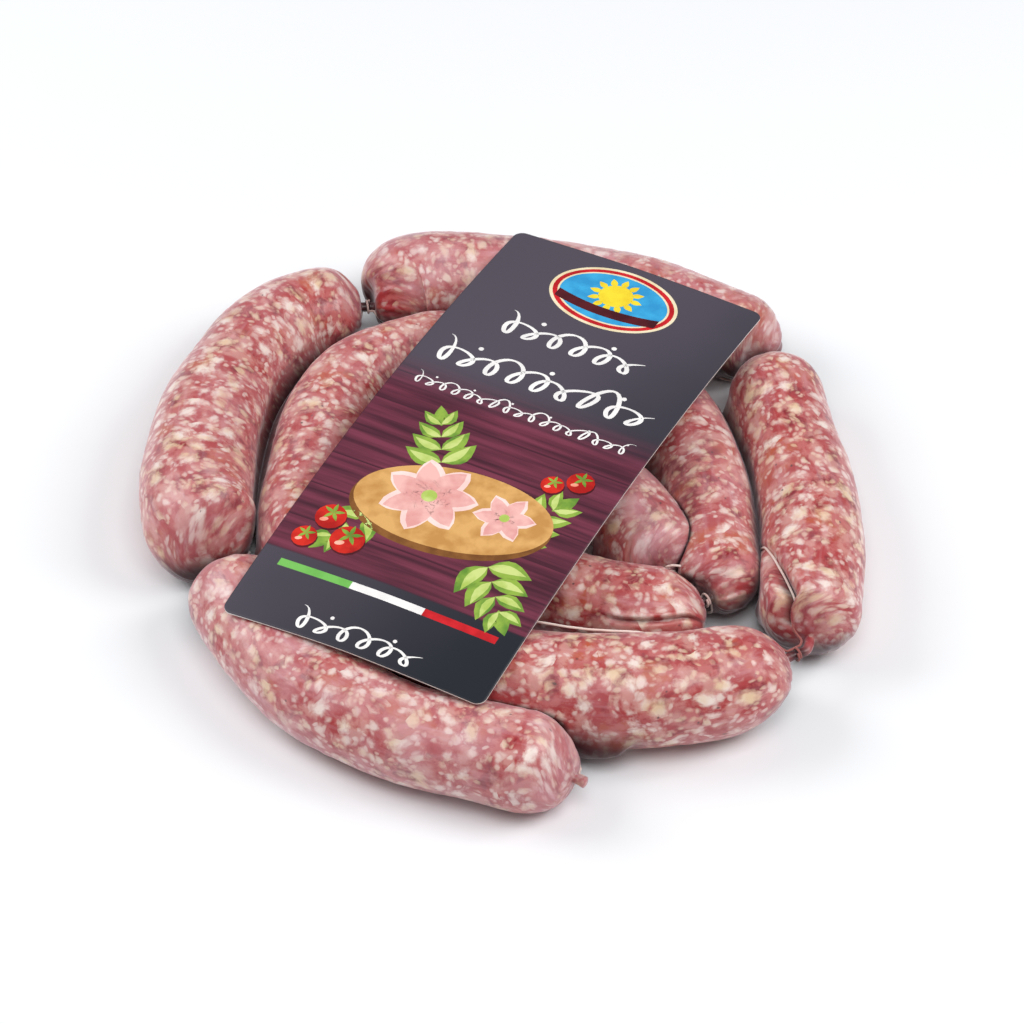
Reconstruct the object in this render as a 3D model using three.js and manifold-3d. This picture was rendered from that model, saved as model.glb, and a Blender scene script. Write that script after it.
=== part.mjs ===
// A string of nine raw pork sausage links, laid down as a flat spiral. Butcher's twine ties the
// twisted casing between the links and runs along the inner side of each link. A printed card
// lies on top of the coil.
// Millimetres, +Z up. The origin is on the table under the middle of the coil, +X is its right
// side and +Y its back.

import * as THREE from "three";
import { mergeVertices } from "three/addons/utils/BufferGeometryUtils.js";
import Module from "manifold-3d";

const wasm = await Module();
wasm.setup();

// Casing and meat
const NECK_RADIUS = 1.6; // twisted casing where the twine ties it
const NECK_LENGTH = 2.4; // from the middle of a tie to the shoulder of a link
const NECK_END_GAP = 0.2; // half the gap between two necks inside a tie
const WIDTH_FACTOR = 1.025; // soft meat settles a little wider than it is tall
const HEIGHT_FACTOR = 0.965;
const SETTLE = 0.8; // how far the underside is pressed flat on the table
const LUMP = 0.022; // unevenness of the girth, as a share of it
const LUMP_WAVES = [11, 6.3]; // lengths of its slow and its quick wave, per radian
const LUMP_QUICK = 0.6; // the quick wave against the slow one
const LUMP_RISE = 12; // over this the unevenness sets in, past a neck
const SIDES = 16;
const BODY_STEP = 9; // spacing of the rings along the body of a link
const SHOULDER_RINGS = 6;
const PLEAT_DEPTH = 0.5; // folds of casing gathered at each end
const PLEAT_RISE = 4; // they reach this depth where the radius has grown this far past a neck's
const PLEAT_REACH = 11; // how far the folds run along a shoulder
const PLEAT_TWIST = 0.5; // radians that the folds turn on the way to the neck
const TAIL_LENGTH = 1.8; // scrap of casing past the neck at each end of the string
const TAIL_RADIUS = 1.9;
const AXIS_FALL = [-1.4, 13]; // past a neck, where the axis leaves its height and where it lies
const BALL_STEP = 2.5; // spacing of the balls that stand for the meat of a link
const PRESS_MARGIN = 20; // square millimetres, a gap of about 0.6 mm between pressed links

// Twine
const TWINE_RADIUS = 0.4;
const TWINE_SIDES = 4;
const TWINE_STEPS = 36; // from tie to tie
const CLEARANCE = 0.3; // gap between pieces that touch
const TWINE_CLEARANCE = 0.65; // wider, as its straight stretches cut across curved skin
const TIE_CLEARANCE = 0.35;
const TIE_REACH = 0.8; // half the length of neck that the turns of a tie cover
const TIE_SIDES = 8;

// Printed card
const CARD = {
  width: 96,
  length: 210,
  thickness: 0.4,
  corner: 3.5,
  centre: [0.2, 7.9],
  turn: -27.5, // degrees
  crown: 38.1, // height of the underside at the middle
  tilt: 0.5, // how much lower the back end is than the middle, and the front end higher
  bow: 5.6, // how much lower both short edges are than the middle
  // how much lower still the corners hang, each by its direction from the middle
  droops: [[-1, -1, 3.4], [1, -1, 1.6], [-1, 1, 1.5], [1, 1, 1.5]],
};

// The ties in the order of the string: place, height above the table, and heading of the
// string there in degrees.
const TIES = {
  outer_end: { at: [26, -121.3], height: 12, heading: 152 },
  front_left: { at: [-92.6, -26.9], height: 12.5, heading: 108 },
  back_left: { at: [-47.1, 103.6], height: 12.5, heading: 5 },
  back_right: { at: [91.9, 74.6], height: 12.5, heading: -80 },
  front_right: { at: [96.7, -69.4], height: 16, heading: -150 },
  inner_front: { at: [-50.1, -45.4], height: 12.5, heading: 132 },
  inner_back: { at: [-4.1, 79.6], height: 12.5, heading: 0 },
  core_right: { at: [67.9, -42.9], height: 14, heading: -150 },
  core_left: { at: [-30.1, 4.6], height: 12.5, heading: 95 },
  inner_end: { at: [56.4, -32.3], height: 14.5, heading: -78 },
};

// The links in the order of the string. girth is the radius near the first and near the last
// shoulder, shoulder is the length of each rounded end in radii, and necks is the length of
// each neck where it is longer than the rest.
const LINKS = [
  {
    name: "link_front_left",
    from: "outer_end",
    to: "front_left",
    via: [[3.9, -114.4], [-32.1, -102.3], [-65.9, -78.4], [-83.1, -50.4]],
    girth: [16.4, 16.4],
    shoulder: [1.1, 1.0],
  },
  {
    name: "link_left",
    from: "front_left",
    to: "back_left",
    via: [[-101.1, -9.4], [-102.1, 18.6], [-96.6, 56.6], [-75.6, 93.6]],
    girth: [19.2, 15.4],
    shoulder: [0.85, 0.95],
  },
  {
    name: "link_back",
    from: "back_left",
    to: "back_right",
    via: [[-32.1, 113.1], [2.9, 114.1], [39.9, 107.1], [75.9, 90.6]],
    girth: [16.8, 15.8],
    shoulder: [0.95, 0.85],
  },
  {
    name: "link_right",
    from: "back_right",
    to: "front_right",
    via: [[95.9, 51.6], [102.4, 15.6], [104.7, -20.4], [102.4, -46.4]],
    girth: [15.8, 17.0],
    shoulder: [1.25, 0.85],
    necks: [NECK_LENGTH, 9],
  },
  {
    name: "link_front_right",
    from: "front_right",
    to: "inner_front",
    via: [[70.9, -82.9], [43.9, -86.4], [8.9, -83.4], [-25.1, -68.4]],
    girth: [18.8, 17.4],
    shoulder: [1.5, 1.2],
    necks: [5, NECK_LENGTH],
  },
  {
    name: "link_inner_left",
    from: "inner_front",
    to: "inner_back",
    via: [[-64.1, -18.4], [-63.1, 23.6], [-51.1, 60.6], [-24.1, 77.6]],
    girth: [15.6, 15.4],
    shoulder: [1.2, 1.3],
  },
  {
    name: "link_inner_right",
    from: "inner_back",
    to: "core_right",
    via: [[23.9, 76.6], [51.9, 55.6], [67.9, 22.6], [71.7, -17.4]],
    girth: [15.2, 13.8],
    shoulder: [1.3, 0.95],
  },
  {
    name: "link_core_front",
    from: "core_right",
    to: "core_left",
    via: [[53.9, -47.9], [18.9, -38.1], [-12.1, -22.4]],
    girth: [15.0, 14.6],
    shoulder: [1.0, 1.2],
  },
  {
    name: "link_core",
    from: "core_left",
    to: "inner_end",
    via: [[-20.1, 28.6], [7.9, 29.6], [32.6, 10.6], [48.4, -12.6]],
    girth: [14.3, 15.2],
    shoulder: [1.35, 0.65],
  },
];

// The twine runs along the links as [distance from the last tie, angle, height over the skin].
// Angle 0 is the left side in the direction of the string, 90 the top and 180 the inner side.
const UNDER = [[0, 229, 0], [200, 229, 0]];
const TURN = [[0, 150, 0], [3, 152, 0.4], [4.6, 170, 0.7], [7, 216, 1], [11, 229, 0], [200, 229, 0]];
const ACROSS = [
  [0, 100, 0],
  [9, 104, 1.6],
  [14, 108, 0.8],
  [24, 123, 0.5],
  [36, 143, 0.3],
  [47, 164, 0],
  [57, 200, 0],
  [69, 225, 0],
  [200, 229, 0],
];
const OVER = [[0, 150, 0], [40, 140, 1.5], [70, 138, 2.2], [98, 140, 0.2], [118, 165, 0], [200, 180, 0]];
const CORE = [[0, 229, 0], [100, 229, 0], [112, 226, 1.6], [132.8, 222, 1.5], [134.6, 229, 0], [200, 229, 0]];
const RUNS = [TURN, UNDER, UNDER, ACROSS, OVER, UNDER, UNDER, UNDER, CORE];

// The twine presses a crease into this link, along its way across it.
const CREASE = {
  link: "link_right",
  sides: 26,
  step: 6.5, // spacing of the rings of this link
  gather: 0.6, // how closely the sides crowd towards the crease
  middle: 112,
  depth: [[0, 5.5], [20, 5.5], [30, 2.2], [48, 1], [62, 0]],
  halfWidth: 2.8,
  rise: 5, // over this it sets in, past the neck
};

const MEAT = new THREE.MeshStandardMaterial({ name: "meat", color: 0xc4746c, roughness: 0.35 });
const TWINE = new THREE.MeshStandardMaterial({ name: "twine", color: 0xe6d8cc, roughness: 0.85 });
const CARD_INK = new THREE.MeshStandardMaterial({ name: "card", color: 0x3d3a42, roughness: 0.4 });

const { clamp, degToRad, lerp, smoothstep } = THREE.MathUtils;

function named(name, geometry, material) {
  const mesh = new THREE.Mesh(geometry, material);
  mesh.name = name;
  return mesh;
}

function asManifold(geometry) {
  const bare = geometry.clone();
  bare.deleteAttribute("normal");
  bare.deleteAttribute("uv");
  const merged = mergeVertices(bare);
  return new wasm.Manifold(
    new wasm.Mesh({
      numProp: 3,
      vertProperties: merged.getAttribute("position").array,
      triVerts: new Uint32Array(merged.index.array),
    }),
  );
}

function asGeometry(solid) {
  const mesh = solid.getMesh();
  const geometry = new THREE.BufferGeometry();
  geometry.setAttribute("position", new THREE.BufferAttribute(mesh.vertProperties, 3));
  geometry.setIndex(new THREE.BufferAttribute(mesh.triVerts, 1));
  return geometry;
}

// The flat route of a link's axis from tie to tie, leaving each tie along its heading.
function routeOf(link) {
  const beside = (tie, sign) => {
    const turn = degToRad(tie.heading);
    const reach = sign * (NECK_LENGTH + 1.5);
    return [tie.at[0] + reach * Math.cos(turn), tie.at[1] + reach * Math.sin(turn)];
  };
  const [start, end] = [TIES[link.from], TIES[link.to]];
  const points = [start.at, beside(start, 1), ...link.via, beside(end, -1), end.at];
  return new THREE.CatmullRomCurve3(points.map(([x, y]) => new THREE.Vector3(x, y, 0)));
}

// The value at a place in a list of [place, value, ...] stops.
function between(stops, place, column = 1) {
  let next = 1;
  while (next < stops.length - 1 && stops[next][0] < place) next++;
  const [before, after] = [stops[next - 1], stops[next]];
  const share = clamp((place - before[0]) / (after[0] - before[0]), 0, 1);
  return lerp(before[column], after[column], share);
}

// Everything that the surface of one link is worked out from. Distances run along its axis
// from the middle of its first tie.
class LinkForm {
  constructor(link, number) {
    this.link = link;
    this.number = number;
    this.route = routeOf(link);
    this.length = this.route.getLength();
    this.tieHeights = [TIES[link.from].height, TIES[link.to].height];
    this.tails = [link.from === "outer_end", link.to === "inner_end"];
    this.necks = link.necks ?? [NECK_LENGTH, NECK_LENGTH];
    this.shoulders = link.girth.map((girth, end) => girth * link.shoulder[end]);
    this.creased = link.name === CREASE.link;
    this.sides = this.creased ? CREASE.sides : SIDES;
    this.balls = this.meatBalls();
  }

  // Distance to the nearer tie.
  nearest(s) {
    return Math.min(s, this.length - s);
  }

  // Distance past the nearer neck.
  past(s) {
    return Math.min(s - this.necks[0], this.length - s - this.necks[1]);
  }

  // The radius that the meat would have with no rounded ends.
  girth(s) {
    return lerp(...this.link.girth, smoothstep(s / this.length, 0.1, 0.9));
  }

  // The radius with both rounded ends.
  radius(s) {
    const shares = [s, this.length - s].map((past, end) => {
      const x = clamp((past - this.necks[end]) / this.shoulders[end], 0, 1);
      return Math.sqrt(1 - (1 - x) ** 2);
    });
    return lerp(NECK_RADIUS, this.girth(s), Math.min(...shares));
  }

  // A point on the axis. The meat lies on the table and the necks stand free of it.
  axis(s) {
    const place = this.route.getPointAt(s / this.length);
    const lying = this.girth(s) * HEIGHT_FACTOR - SETTLE;
    const tied = this.tieHeights[s < this.length / 2 ? 0 : 1];
    place.z = lerp(tied, lying, smoothstep(this.past(s), ...AXIS_FALL));
    return place;
  }

  // Balls that fill the meat.
  meatBalls() {
    const count = Math.ceil(this.length / BALL_STEP);
    return Array.from({ length: count - 1 }, (_, i) => {
      const s = ((i + 1) / count) * this.length;
      return { centre: this.axis(s), radius: Math.min(this.radius(s), this.nearest(s)) };
    });
  }

  // How far a place is outside the meat, as squared distance less squared radius.
  power(place) {
    let least = Infinity;
    for (const { centre, radius } of this.balls) {
      least = Math.min(least, centre.distanceToSquared(place) - radius * radius);
    }
    return least;
  }

  // Slow swellings of the girth that differ from link to link.
  lumps(s, angle) {
    const n = this.number;
    const slow = Math.sin(s / LUMP_WAVES[0] + 2.1 * n + 0.8 * Math.cos(angle));
    const quick = Math.sin(s / LUMP_WAVES[1] + 1.3 * n + 1.7 * Math.sin(angle));
    return LUMP * (slow + LUMP_QUICK * quick) * smoothstep(this.past(s), 0, LUMP_RISE);
  }

  // Depth of the crease that the twine presses in.
  crease(s, angle) {
    if (!this.creased) return 0;
    const back = this.length - s;
    const middle = degToRad(between(ACROSS, back));
    const across = ((angle - middle) * this.radius(s)) / CREASE.halfWidth;
    const depth = between(CREASE.depth, back) * smoothstep(this.past(s), 0, CREASE.rise);
    return depth * Math.exp(-across * across);
  }

  // How much of the folds of casing there is at a distance.
  gathered(s) {
    return 1 - smoothstep(this.past(s), 0, PLEAT_REACH);
  }

  // A point on the skin before neighbours press on it. With a height, it is that far off the
  // skin, square to the profile.
  free(s, angle, over = 0) {
    const shoulder = clamp((this.radius(s) - NECK_RADIUS) / PLEAT_RISE, 0, 1);
    const fold = PLEAT_DEPTH * shoulder * this.gathered(s) * Math.sin((this.sides / 2) * angle);
    const slope = (this.radius(s + 0.1) - this.radius(s - 0.1)) / 0.2;
    const square = Math.hypot(1, slope);
    const bulge = this.radius(s) * (1 + this.lumps(s, angle)) + fold - this.crease(s, angle);
    const radius = bulge + over / square;
    const at = s - (over * slope) / square;
    const twist = PLEAT_TWIST * this.gathered(s) * (s < this.length / 2 ? -1 : 1);
    const tangent = this.route.getTangentAt(at / this.length);
    const side = new THREE.Vector3(-tangent.y, tangent.x, 0);
    const place = this.axis(at).addScaledVector(side, radius * WIDTH_FACTOR * Math.cos(angle + twist));
    place.z += radius * HEIGHT_FACTOR * Math.sin(angle + twist);
    return place;
  }

  // The same point where links meet: each gives way as far as the plane between them.
  skin(s, angle, neighbours) {
    const place = this.free(s, angle);
    const axis = this.axis(s);
    const clear = (at, other) => this.power(at) + PRESS_MARGIN < other.power(at);
    for (const other of neighbours) {
      if (clear(place, other)) continue;
      const [inside, outside] = [axis.clone(), place.clone()];
      for (let halving = 0; halving < 10; halving++) {
        const middle = inside.clone().lerp(outside, 0.5);
        (clear(middle, other) ? inside : outside).copy(middle);
      }
      place.copy(inside);
    }
    place.z = Math.max(place.z, 0);
    return place;
  }

  // Distances where the mesh has a ring.
  rings() {
    const [first, last] = [this.necks[0], this.length - this.necks[1]];
    const rounded = this.shoulders.map((length) =>
      Array.from({ length: SHOULDER_RINGS }, (_, i) => {
        return length * (1 - Math.cos(((i + 1) / SHOULDER_RINGS) * (Math.PI / 2)));
      }),
    );
    const [from, to] = [first + this.shoulders[0], last - this.shoulders[1]];
    const count = Math.round((to - from) / (this.creased ? CREASE.step : BODY_STEP));
    const body = Array.from({ length: count - 1 }, (_, i) => lerp(from, to, (i + 1) / count));
    const start = rounded[0].map((x) => first + x);
    const end = rounded[1].reverse().map((x) => last - x);
    const bend = last < this.length - NECK_LENGTH ? [this.length - NECK_LENGTH] : [];
    return [first, ...start, ...body, ...end, last, ...bend];
  }

  // The straight profile, from the cut face of one neck, or its tail, to that of the other.
  profile() {
    const end = (tail, tie, out) => {
      if (!tail) return [[0, tie - out * NECK_END_GAP], [NECK_RADIUS, tie - out * NECK_END_GAP]];
      const tip = tie + out * TAIL_LENGTH;
      return [[0, tip], [TAIL_RADIUS, tip - out], [NECK_RADIUS, tie + out * (TIE_REACH + CLEARANCE)]];
    };
    const rings = this.rings().map((s) => [this.radius(s), s]);
    const points = [...end(this.tails[0], 0, -1), ...rings, ...end(this.tails[1], this.length, 1).reverse()];
    return points.map(([radius, s]) => new THREE.Vector2(radius, s));
  }

  // The sausage: its profile turned on a lathe, bent onto the route and pressed into place.
  geometry(neighbours) {
    const lathe = new THREE.LatheGeometry(this.profile(), this.sides);
    const position = lathe.getAttribute("position");
    const crowded = degToRad(CREASE.middle);
    for (let i = 0; i < position.count; i++) {
      const [x, s, z] = [position.getX(i), position.getY(i), position.getZ(i)];
      let angle = Math.atan2(x, z) + Math.PI / this.sides;
      if (this.creased) angle -= CREASE.gather * Math.sin(angle - crowded);
      const bent = this.placed(s, (angle + 2 * Math.PI) % (2 * Math.PI), Math.hypot(x, z), neighbours);
      position.setXYZ(i, bent.x, bent.y, bent.z);
    }
    return lathe;
  }

  // Where a vertex of the turned profile goes.
  placed(s, angle, radius, neighbours) {
    const inside = clamp(s, 0, this.length);
    if (inside === s && radius > 0) return this.skin(s, angle, neighbours);
    if (inside === s) return this.axis(s);
    const tangent = this.route.getTangentAt(inside / this.length);
    const scale = radius / NECK_RADIUS;
    const place = this.axis(inside).lerp(this.free(inside, angle), scale);
    return place.addScaledVector(tangent, s - inside);
  }
}

// Turns of twine wound tight round a neck, as one ring with two lobes.
function tieRing(tie) {
  const inner = NECK_RADIUS * WIDTH_FACTOR + TIE_CLEARANCE;
  const outer = inner + 2 * TWINE_RADIUS;
  const waist = inner + 1.4 * TWINE_RADIUS;
  const profile = [
    new THREE.Vector2(inner, -TIE_REACH),
    new THREE.Vector2(outer, -TIE_REACH / 2),
    new THREE.Vector2(waist, 0),
    new THREE.Vector2(outer, TIE_REACH / 2),
    new THREE.Vector2(inner, TIE_REACH),
    new THREE.Vector2(inner, -TIE_REACH),
  ];
  const ring = new THREE.LatheGeometry(profile, TIE_SIDES);
  ring.rotateZ(degToRad(tie.heading - 90));
  ring.translate(...tie.at, tie.height);
  return ring;
}

// Twine lying along a link, from inside one tie to inside the next.
function twineRun(form, route) {
  const over = TWINE_RADIUS + TWINE_CLEARANCE;
  const onMeat = form.rings().filter((s) => form.radius(s) > 2 * NECK_RADIUS);
  const points = [0, ...onMeat, form.length].map((s) => {
    const back = form.length - s;
    return form.free(s, degToRad(between(route, back)), over + between(route, back, 2));
  });
  const section = new THREE.Shape();
  for (let side = 0; side < TWINE_SIDES; side++) {
    const angle = (2 * Math.PI * side) / TWINE_SIDES;
    const corner = [TWINE_RADIUS * Math.cos(angle), TWINE_RADIUS * Math.sin(angle)];
    side ? section.lineTo(...corner) : section.moveTo(...corner);
  }
  return new THREE.ExtrudeGeometry(section, {
    steps: TWINE_STEPS,
    extrudePath: new THREE.CatmullRomCurve3(points),
  });
}

// The whole string: all ties and the runs between them.
function twineGeometry(forms) {
  const { outer_end: loose, ...tied } = TIES;
  const ties = Object.values(tied).map(tieRing);
  const runs = forms.map((form, i) => twineRun(form, RUNS[i]));
  return asGeometry([...ties, ...runs].map(asManifold).reduce((all, piece) => all.add(piece)));
}

// Height of the card's underside: bowed along its length, drooping at its corners.
function cardHeight(x, y) {
  const [u, v] = [(2 * x) / CARD.width, (2 * y) / CARD.length];
  let height = CARD.crown - CARD.tilt * v - CARD.bow * v * v;
  for (const [right, back, droop] of CARD.droops) {
    height -= droop * (Math.max(0, right * u) * Math.max(0, back * v)) ** 1.5;
  }
  return height;
}

// The bowed card, trimmed to its rounded corners.
function cardGeometry() {
  const { width, length, thickness, corner } = CARD;
  const sheet = new THREE.BoxGeometry(width, length, thickness, 2, 12, 1);
  const position = sheet.getAttribute("position");
  for (let i = 0; i < position.count; i++) {
    const lift = cardHeight(position.getX(i), position.getY(i)) + thickness / 2;
    position.setZ(i, position.getZ(i) + lift);
  }
  const outline = new THREE.Shape();
  const [x, y] = [width / 2 - corner - 0.01, length / 2 - corner - 0.01];
  outline.absarc(x, y, corner, 0, Math.PI / 2);
  outline.absarc(-x, y, corner, Math.PI / 2, Math.PI);
  outline.absarc(-x, -y, corner, Math.PI, 1.5 * Math.PI);
  outline.absarc(x, -y, corner, 1.5 * Math.PI, 2 * Math.PI);
  const die = new THREE.ExtrudeGeometry(outline, {
    depth: 2 * CARD.crown,
    bevelEnabled: false,
    curveSegments: 4,
  });
  const card = asGeometry(asManifold(sheet).intersect(asManifold(die)));
  card.rotateZ(degToRad(CARD.turn));
  card.translate(...CARD.centre, 0);
  return card;
}

const forms = LINKS.map((link, number) => new LinkForm(link, number));
const coil = new THREE.Group();
for (const form of forms) {
  const neighbours = forms.filter((other) => other !== form);
  coil.add(named(form.link.name, form.geometry(neighbours), MEAT));
}
coil.add(named("twine", twineGeometry(forms), TWINE));
coil.add(named("card", cardGeometry(), CARD_INK));

export default coil;
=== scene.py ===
"""A string of nine raw pork sausage links, coiled flat on a table under a printed card.

The form is worked out in millimetres from the same named sizes as the solids, and every
finished mesh is in metres with its origin on the table, under the middle of the coil.
"""

import logging
import math
from dataclasses import dataclass, field
from enum import Enum
from functools import partial
from typing import Callable, ClassVar

import bmesh
import bpy
import numpy as np
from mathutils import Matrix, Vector


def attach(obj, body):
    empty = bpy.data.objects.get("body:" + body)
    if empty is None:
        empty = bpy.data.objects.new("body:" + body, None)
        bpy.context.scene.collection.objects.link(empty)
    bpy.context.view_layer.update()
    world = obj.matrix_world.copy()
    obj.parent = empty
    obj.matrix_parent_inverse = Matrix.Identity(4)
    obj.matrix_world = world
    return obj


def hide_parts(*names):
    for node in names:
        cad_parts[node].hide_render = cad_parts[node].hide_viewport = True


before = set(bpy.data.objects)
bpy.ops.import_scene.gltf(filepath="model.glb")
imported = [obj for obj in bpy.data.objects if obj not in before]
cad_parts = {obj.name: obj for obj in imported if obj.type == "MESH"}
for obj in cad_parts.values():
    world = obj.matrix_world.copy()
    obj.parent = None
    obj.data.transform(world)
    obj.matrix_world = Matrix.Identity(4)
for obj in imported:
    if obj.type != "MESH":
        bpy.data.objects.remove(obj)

LOG = logging.getLogger("sausage_links")
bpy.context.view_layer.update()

MM = 0.001
# Sockets of a colour Mix node, whose names are not unique
SHARE, UNDER_COLOUR, OVER_COLOUR = 0, 6, 7
UP = np.array([0.0, 0.0, 1.0])

Pair = tuple[float, float]
Triple = tuple[float, float, float]
Amount = np.ndarray | float
Node = bpy.types.Node
Adder = Callable[..., Node]
# Turns u and v, each from -1 to 1, into places on the card
Outline = Callable[[np.ndarray, np.ndarray], np.ndarray]
# Turns ring numbers, angles and flags of open rings into places
RingPlacer = Callable[[np.ndarray, np.ndarray, np.ndarray], np.ndarray]


# Small helpers


def linear(colour: str) -> tuple[float, float, float, float]:
    """Turns an sRGB hex colour into linear RGBA.

    Args:
        colour: Six hex digits, with or without a leading #.

    Returns:
        Linear red, green, blue and an alpha of 1.
    """
    digits = colour.lstrip("#")
    values = [int(digits[i : i + 2], 16) / 255 for i in (0, 2, 4)]
    bent = [v / 12.92 if v <= 0.04045 else ((v + 0.055) / 1.055) ** 2.4 for v in values]
    return (*bent, 1.0)


def add_node(
    tree: bpy.types.NodeTree, kind: str, inputs: dict | None = None, **settings: object
) -> Node:
    """Adds one shader node with its settings, values and links.

    Args:
        tree: The material's node tree.
        kind: Blender's name of the node type.
        inputs: Socket names or numbers, each with a value, with the output that feeds it, or
            with a node whose first output in use feeds it.
        **settings: Properties of the node itself.

    Returns:
        The new node.
    """
    node = tree.nodes.new(kind)
    for name, value in settings.items():
        setattr(node, name, value)
    for socket, value in (inputs or {}).items():
        if isinstance(value, Node):
            value = next(output for output in value.outputs if output.enabled)
        if isinstance(value, bpy.types.NodeSocket):
            tree.links.new(value, node.inputs[socket])
        else:
            node.inputs[socket].default_value = value
    return node


def bare_material(name: str) -> tuple[bpy.types.Material, Adder]:
    """Makes a material with an empty node tree.

    Args:
        name: Name of the material.

    Returns:
        The material, and add_node bound to its tree.
    """
    made = bpy.data.materials.new(name)
    made.use_nodes = True
    made.node_tree.nodes.clear()
    return made, partial(add_node, made.node_tree)


def smoothstep(x: np.ndarray, low: float, high: float) -> np.ndarray:
    """Rises smoothly from 0 at low to 1 at high."""
    t = np.clip((x - low) / (high - low), 0.0, 1.0)
    return t * t * (3.0 - 2.0 * t)


def mix(a: np.ndarray, b: np.ndarray, share: np.ndarray) -> np.ndarray:
    """Goes from a to b as share goes from 0 to 1."""
    return a + (b - a) * share


def turned(origin: Pair, x: Amount, y: Amount, degrees: float) -> np.ndarray:
    """Finds places in a frame that is turned and moved.

    Args:
        origin: Where the frame starts.
        x: Distances in the frame's own direction.
        y: Distances to the left of it.
        degrees: The frame's direction.

    Returns:
        The places as x and y, one row each.
    """
    way = math.radians(degrees)
    along = origin[0] + x * math.cos(way) - y * math.sin(way)
    return np.stack([along, origin[1] + x * math.sin(way) + y * math.cos(way)], axis=-1)


def places_of(model: bmesh.types.BMesh) -> np.ndarray:
    """Gives the places of a model's vertices, one row each."""
    return np.array([vertex.co for vertex in model.verts])


def move_to(model: bmesh.types.BMesh, places: np.ndarray) -> None:
    """Moves a model's vertices to places, one row each."""
    for vertex, place in zip(model.verts, places):
        vertex.co = place


def lay_flat(model: bmesh.types.BMesh, flat: np.ndarray) -> None:
    """Moves a model's vertices to places on the ground, one row each."""
    move_to(model, np.column_stack([flat, np.zeros(len(flat))]))


def thicken(sheet: bmesh.types.BMesh, thickness: float) -> None:
    """Extrudes a flat sheet upwards into a closed slab."""
    for raised in bmesh.ops.extrude_face_region(sheet, geom=sheet.faces[:])["geom"]:
        if isinstance(raised, bmesh.types.BMVert):
            raised.co.z = thickness
    bmesh.ops.recalc_face_normals(sheet, faces=sheet.faces)


def lengthwise_tube(name: str, around: int, along: int, place: RingPlacer) -> bpy.types.Object:
    """Models a closed tube from a UV sphere, whose parallels become its rings.

    Args:
        name: Name of the new object.
        around: Number of vertices in a ring.
        along: Number of spans from end to end.
        place: Takes each vertex's ring number, its angle and 0 at the poles or else 1, and
            returns its place in millimetres.

    Returns:
        The new object, smooth shaded and in metres.
    """
    tube = bmesh.new()
    bmesh.ops.create_uvsphere(tube, u_segments=around, v_segments=along, radius=1.0)
    unit = places_of(tube)
    ring = np.rint(np.arccos(np.clip(unit[:, 2], -1, 1)) / math.pi * along).astype(int)
    angle = np.arctan2(unit[:, 1], unit[:, 0]) % (2 * math.pi)
    open_ring = ((ring > 0) & (ring < along)).astype(float)
    move_to(tube, place(ring, angle, open_ring) * MM)
    bmesh.ops.recalc_face_normals(tube, faces=tube.faces)
    return finished(name, tube)


def finished(name: str, model: bmesh.types.BMesh) -> bpy.types.Object:
    """Turns a bmesh into a smooth shaded object at the origin.

    Args:
        name: Name of the new object.
        model: The modelled mesh, which is freed.

    Returns:
        The new object, linked to the scene.
    """
    mesh = bpy.data.meshes.new(name)
    model.to_mesh(mesh)
    model.free()
    mesh.polygons.foreach_set("use_smooth", [True] * len(mesh.polygons))
    thing = bpy.data.objects.new(name, mesh)
    bpy.context.scene.collection.objects.link(thing)
    return thing


def keep_on_points(thing: bpy.types.Object, name: str, kind: str, values: np.ndarray) -> None:
    """Stores one value for each vertex of a mesh.

    Args:
        thing: The object.
        name: Name of the attribute.
        kind: FLOAT or FLOAT_VECTOR.
        values: One row for each vertex.
    """
    attribute = thing.data.attributes.new(name, kind, "POINT")
    column = "vector" if kind == "FLOAT_VECTOR" else "value"
    attribute.data.foreach_set(column, np.asarray(values, np.float32).ravel())


def take_in(thing: bpy.types.Object, slot: str, *nodes: str) -> None:
    """Makes a piece ride on the body and lets it stand for solids, whose parts it hides."""
    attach(thing, "root")
    if nodes:
        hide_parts(*nodes)
    LOG.info("%s: %d faces", thing.name, len(thing.data.polygons))


# Sizes of the string


class Grain(Enum):
    """How the coarse mince lies: its stretch along and across, and how milky the casing is."""

    CHUNKY = (1.0, 1.0, 0.12)
    HAZY = (1.0, 1.0, 0.4)
    # Painted light: a paler casing that lifts the link which the card shades
    PALE = (1.0, 1.0, 0.6)
    STREAKED = (1.15, 0.9, 0.24)


@dataclass(frozen=True)
class Tie:
    """A twisted neck of casing with twine round it: place, height and heading in degrees."""

    at: Pair
    height: float
    heading: float


@dataclass(frozen=True)
class Link:
    """One sausage between two ties. Each pair of sizes is for its first and its last end."""

    name: str
    ties: tuple[str, str]
    via: tuple[Pair, ...]
    girth: Pair
    shoulder: Pair
    necks: Pair = (2.4, 2.4)
    grain: Grain = Grain.CHUNKY


TIES = {
    "outer_end": Tie((26, -121.3), 12, 152),
    "front_left": Tie((-92.6, -26.9), 12.5, 108),
    "back_left": Tie((-47.1, 103.6), 12.5, 5),
    "back_right": Tie((91.9, 74.6), 12.5, -80),
    "front_right": Tie((96.7, -69.4), 16, -150),
    "inner_front": Tie((-50.1, -45.4), 12.5, 132),
    "inner_back": Tie((-4.1, 79.6), 12.5, 0),
    "core_right": Tie((67.9, -42.9), 14, -150),
    "core_left": Tie((-30.1, 4.6), 12.5, 95),
    "inner_end": Tie((56.4, -32.3), 14.5, -78),
}

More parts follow.
